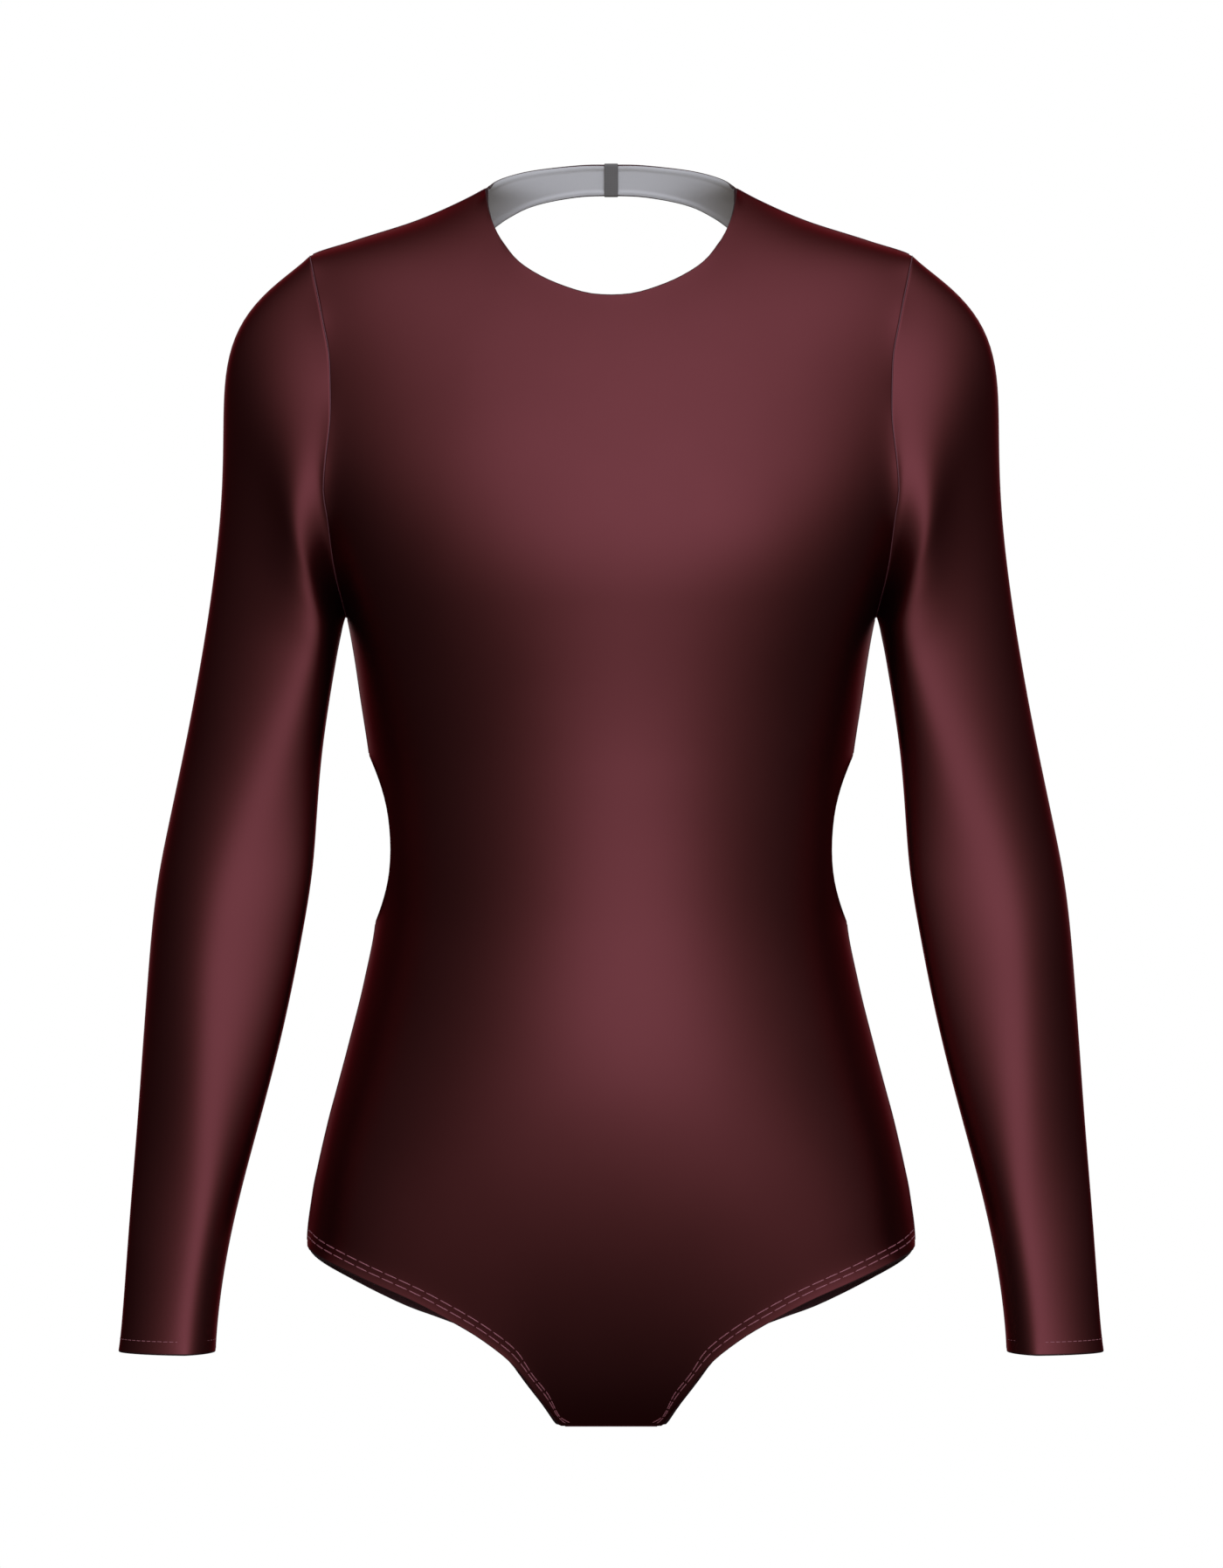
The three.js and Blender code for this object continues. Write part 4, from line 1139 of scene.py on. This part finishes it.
bpy.ops.mesh.primitive_circle_add(vertices=96, radius=FLOOR_RADIUS, fill_type="NGON",
                                  location=(0, 0, FLOOR_HEIGHT))
floor = bpy.context.object
floor.name = "pale_floor"
floor_finish = bpy.data.materials.new("pale_floor")
floor_finish.use_nodes = True
tree = floor_finish.node_tree
tree.nodes.remove(tree.nodes["Principled BSDF"])
clear = add_node(tree, "ShaderNodeBsdfTransparent")
glow = add_node(tree, "ShaderNodeEmission")
glow.inputs["Color"].default_value = FLOOR_COLOUR
show_to_camera(tree, glow, clear, tree.nodes["Material Output"])
floor.data.materials.append(floor_finish)
print("floor at", FLOOR_HEIGHT, "m")

# %% A broad soft light
world = bpy.data.worlds.new("soft_studio")
bpy.context.scene.world = world
world.use_nodes = True
sky = world.node_tree
sky.nodes.clear()
look = add_node(sky, "ShaderNodeTexCoord")
gaze = add_node(sky, "ShaderNodeVectorMath", operation="NORMALIZE")
sky.links.new(look.outputs["Generated"], gaze.inputs[0])


def towards(direction):
    """How far the direction looked in agrees with a given one, from -1 to 1."""
    facing = add_node(sky, "ShaderNodeVectorMath", operation="DOT_PRODUCT")
    sky.links.new(gaze.outputs[0], facing.inputs[0])
    facing.inputs[1].default_value = direction
    return facing.outputs["Value"]


LIGHT_TURN = math.radians(9)
LIGHT_FOOT = math.radians(15)
LIGHT_HEAD = math.radians(45)
ahead = towards((math.sin(LIGHT_TURN), -math.cos(LIGHT_TURN), 0))
above = towards((0, 0, 1))
angle_up = maths(sky, "ARCTAN2", above, ahead)
height = maths(sky, "MINIMUM", maths(sky, "MAXIMUM", angle_up, LIGHT_FOOT), LIGHT_HEAD)
nearest = maths(sky, "MULTIPLY_ADD", maths(sky, "COSINE", height), ahead,
                maths(sky, "MULTIPLY", maths(sky, "SINE", height), above))
away = maths(sky, "DIVIDE", maths(sky, "ARCCOSINE", maths(sky, "MINIMUM", nearest, 1.0)), math.pi)

# Degrees away from the middle line of the light, and its brightness there
LIGHT_FALL = [
    (0, 1.0), (22, 1.0), (36, 0.58), (48, 0.33), (62, 0.18), (81, 0.085), (106, 0.045), (148, 0.03),
]
LIGHT_TINT = (1.1, 1.23, 1.55)
LIGHT_STRENGTH = 2.0
TINTED_WITHIN = 44
fall = add_node(sky, "ShaderNodeValToRGB")
fall.color_ramp.interpolation = "B_SPLINE"
stops = fall.color_ramp.elements
for place, (degrees, bright) in enumerate(LIGHT_FALL):
    stop = stops[place] if place < 2 else stops.new(degrees / 180)
    stop.position = degrees / 180
    tint = min(1.0, max(0.0, 2 - 2 * degrees / TINTED_WITHIN))
    stop.color = (*(bright * (1 + (colour - 1) * tint) / LIGHT_STRENGTH for colour in LIGHT_TINT), 1)
sky.links.new(away, fall.inputs["Fac"])
print("light steps:", [(round(stop.position * 180), round(stop.color[0], 3)) for stop in stops])

# %% A dim light behind, and a white ground
BEHIND = 0.42
BEHIND_FROM = Vector((0, 1, 0.25))
BEHIND_FULL = math.radians(15)
BEHIND_GONE = math.radians(50)
behind_fade = add_node(sky, "ShaderNodeMapRange", interpolation_type="SMOOTHSTEP")
behind_fade.inputs["From Min"].default_value = math.cos(BEHIND_GONE)
behind_fade.inputs["From Max"].default_value = math.cos(BEHIND_FULL)
behind_fade.inputs["To Max"].default_value = BEHIND / LIGHT_STRENGTH
sky.links.new(towards(BEHIND_FROM.normalized()), behind_fade.inputs["Value"])
total = add_node(sky, "ShaderNodeVectorMath", operation="ADD")
sky.links.new(fall.outputs["Color"], total.inputs[0])
sky.links.new(behind_fade.outputs["Result"], total.inputs[1])
light = add_node(sky, "ShaderNodeBackground")
light.inputs["Strength"].default_value = LIGHT_STRENGTH
sky.links.new(total.outputs[0], light.inputs["Color"])
ground = add_node(sky, "ShaderNodeBackground")
ground.inputs["Color"].default_value = (1, 1, 1, 1)
show_to_camera(sky, ground, light, add_node(sky, "ShaderNodeOutputWorld"))
print("light behind:", BEHIND, "of the light in front")

# %% [markdown]
# ## Camera
#
# The photograph is level, with no visible perspective in its upright lines, so it was taken from
# some way off. The lens is long, and the camera stands level with the waist.

# %% Camera
DISTANCE = 3.5
SEEN_HEIGHT = 0.84365
SENSOR = 36
EYE = (0.0002, -DISTANCE, -0.3024)
camera_data = bpy.data.cameras.new("camera")
camera_data.lens = SENSOR * DISTANCE / SEEN_HEIGHT
camera = bpy.data.objects.new("camera", camera_data)
bpy.context.scene.collection.objects.link(camera)
camera.location = EYE
camera.rotation_euler = (math.radians(90), 0, 0)
bpy.context.scene.camera = camera
bpy.context.scene.view_settings.view_transform = "Standard"
print("lens:", round(camera_data.lens, 1), "mm")
